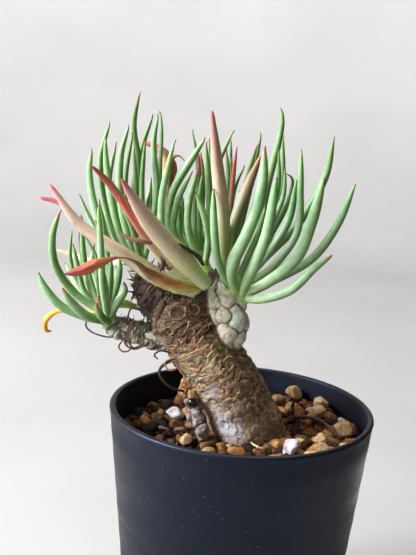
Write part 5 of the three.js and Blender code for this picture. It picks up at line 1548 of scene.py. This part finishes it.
for number, (name, leaf) in enumerate(SINGLE_LEAVES.items()):
    piece = new_piece(name + "_skin", spent_leaf_skin(leaf, number), spent_leaf(name, leaf))
    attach(piece, "root")
    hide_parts(name)


# Stage: a wide pale sweep, level under the pot and curving up all round to an open top, so that every side
# view has the same plain ground. Lit by a large soft light from the upper left, a weak low one from the front
# left, one from above and behind, and the sky's own light.
SWEEP_LEVEL = 0.55
SWEEP_WALL = 1.15
SWEEP_HEIGHT = 1.0
SWEEP_STEPS = 96


def sweep():
    """A bowl: its height is nought on the level, and from there grows with the square of the way out."""
    way = np.concatenate([[0.02, 0.3], SWEEP_LEVEL + (SWEEP_WALL - SWEEP_LEVEL) * np.linspace(0, 1, 24)])
    rise = np.clip((way - SWEEP_LEVEL) / (SWEEP_WALL - SWEEP_LEVEL), 0, 1) ** 2
    angle = -np.arange(SWEEP_STEPS) * 2 * np.pi / SWEEP_STEPS
    rings = raised(polar(way[:, None], angle), SWEEP_HEIGHT * rise[:, None])
    made = skin(rings[::-1][None] / MM)
    made["triangles"] = made["triangles"][SWEEP_STEPS:]
    return made


def painted_sweep():
    """Matt off-white paint, barely mottled, greyer on the level and paler up the wall: painted shade on the
    level where the lamp falls strongest, painted light up the wall.
    """
    material, tree, place = new_material("pale painted ground")
    mottle = add_node(tree, "TexNoise", Vector=place, Scale=9.0, Detail=3.0).outputs[0]
    height = add_node(tree, "SeparateXYZ", Vector=place).outputs["Z"]
    # Greyer low down and paler higher up: painted shade and painted light on the ground
    colour = ramp(tree, scaled(tree, mottle, 0.15, height), [(0.02, "#979592"), (0.42, "#c2c0be")])
    return finished(material, Base_Color=colour, Roughness=0.9)


ground = new_piece("ground_sweep", sweep(), painted_sweep())

# A black card beside the plant, out of the picture: its distance and height in metres, and the angles in
# radians that it stands between
CARD_RADIUS = 0.36
CARD_ARC = (-0.95, 1.1)
CARD_HEIGHT = 0.42


def card():
    """An upright sheet, bent round the right side of the plant at the same distance all along."""
    turn, height = np.meshgrid(np.linspace(*CARD_ARC, 25), np.linspace(0.004, CARD_HEIGHT, 7))
    points = raised(polar(CARD_RADIUS, turn), height).reshape(-1, 3) / MM
    return {"points": points, "quads": around(turn.shape, closed=False), "triangles": NO_TRIANGLES}


def black_velvet():
    """Black cloth that keeps stray light off the shaded side of the plant."""
    material, tree, place = new_material("black velvet")
    nap = add_node(tree, "TexNoise", Vector=place, Scale=300.0, Detail=2.0).outputs[0]
    return finished(material, Base_Color=ramp(tree, nap, [(0.3, "#070707"), (0.7, "#0c0c0c")]),
                    Roughness=1.0)


shade_card = new_piece("shade_card", card(), black_velvet())
shade_card.visible_camera = False

# The camera is in front of the plant and above it, looks a little down and is tipped to the left: its place
# in millimetres, and which ways are right and up in the picture
CAMERA_PLACE = Vector((0.0, -263.4, 166.98))
PICTURE_RIGHT = Vector((0.9968, 0.0566, 0.0564))
PICTURE_UP = Vector((-0.0673, 0.2130, 0.9747))

camera = bpy.data.objects.new("camera", bpy.data.cameras.new("camera"))
camera.data.lens = 63.05
camera.data.sensor_width = 36
right = PICTURE_RIGHT.normalized()
back = right.cross(PICTURE_UP).normalized()
up = back.cross(right)
camera.matrix_world = Matrix((right, up, back)).transposed().to_4x4()
camera.location = CAMERA_PLACE * MM
bpy.context.scene.collection.objects.link(camera)
bpy.context.scene.camera = camera


def soft_light(name, place, size, power, colour):
    """A square area light that faces the plant."""
    light = bpy.data.objects.new(name, bpy.data.lights.new(name, "AREA"))
    light.data.size = size
    light.data.energy = power
    light.data.color = linear(colour)[:3]
    light.location = place
    light.rotation_euler = (Vector(place) - Vector((0, 0, 0.1))).to_track_quat("Z", "Y").to_euler()
    bpy.context.scene.collection.objects.link(light)


soft_light("window", (-0.85, -0.2, 0.55), 0.5, 38.0, "#f4f8ff")
soft_light("low_fill", (-0.55, -0.65, 0.12), 0.4, 8.0, "#fffdf8")
soft_light("back_wash", (0.0, 0.2, 0.95), 0.5, 7.0, "#fffdf8")
sky = bpy.data.worlds.new("sky")
sky.use_nodes = True
sky.node_tree.nodes["Background"].inputs[0].default_value = linear("#f4f6fa")
sky.node_tree.nodes["Background"].inputs[1].default_value = 0.12
bpy.context.scene.world = sky
bpy.context.scene.view_settings.view_transform = "Standard"
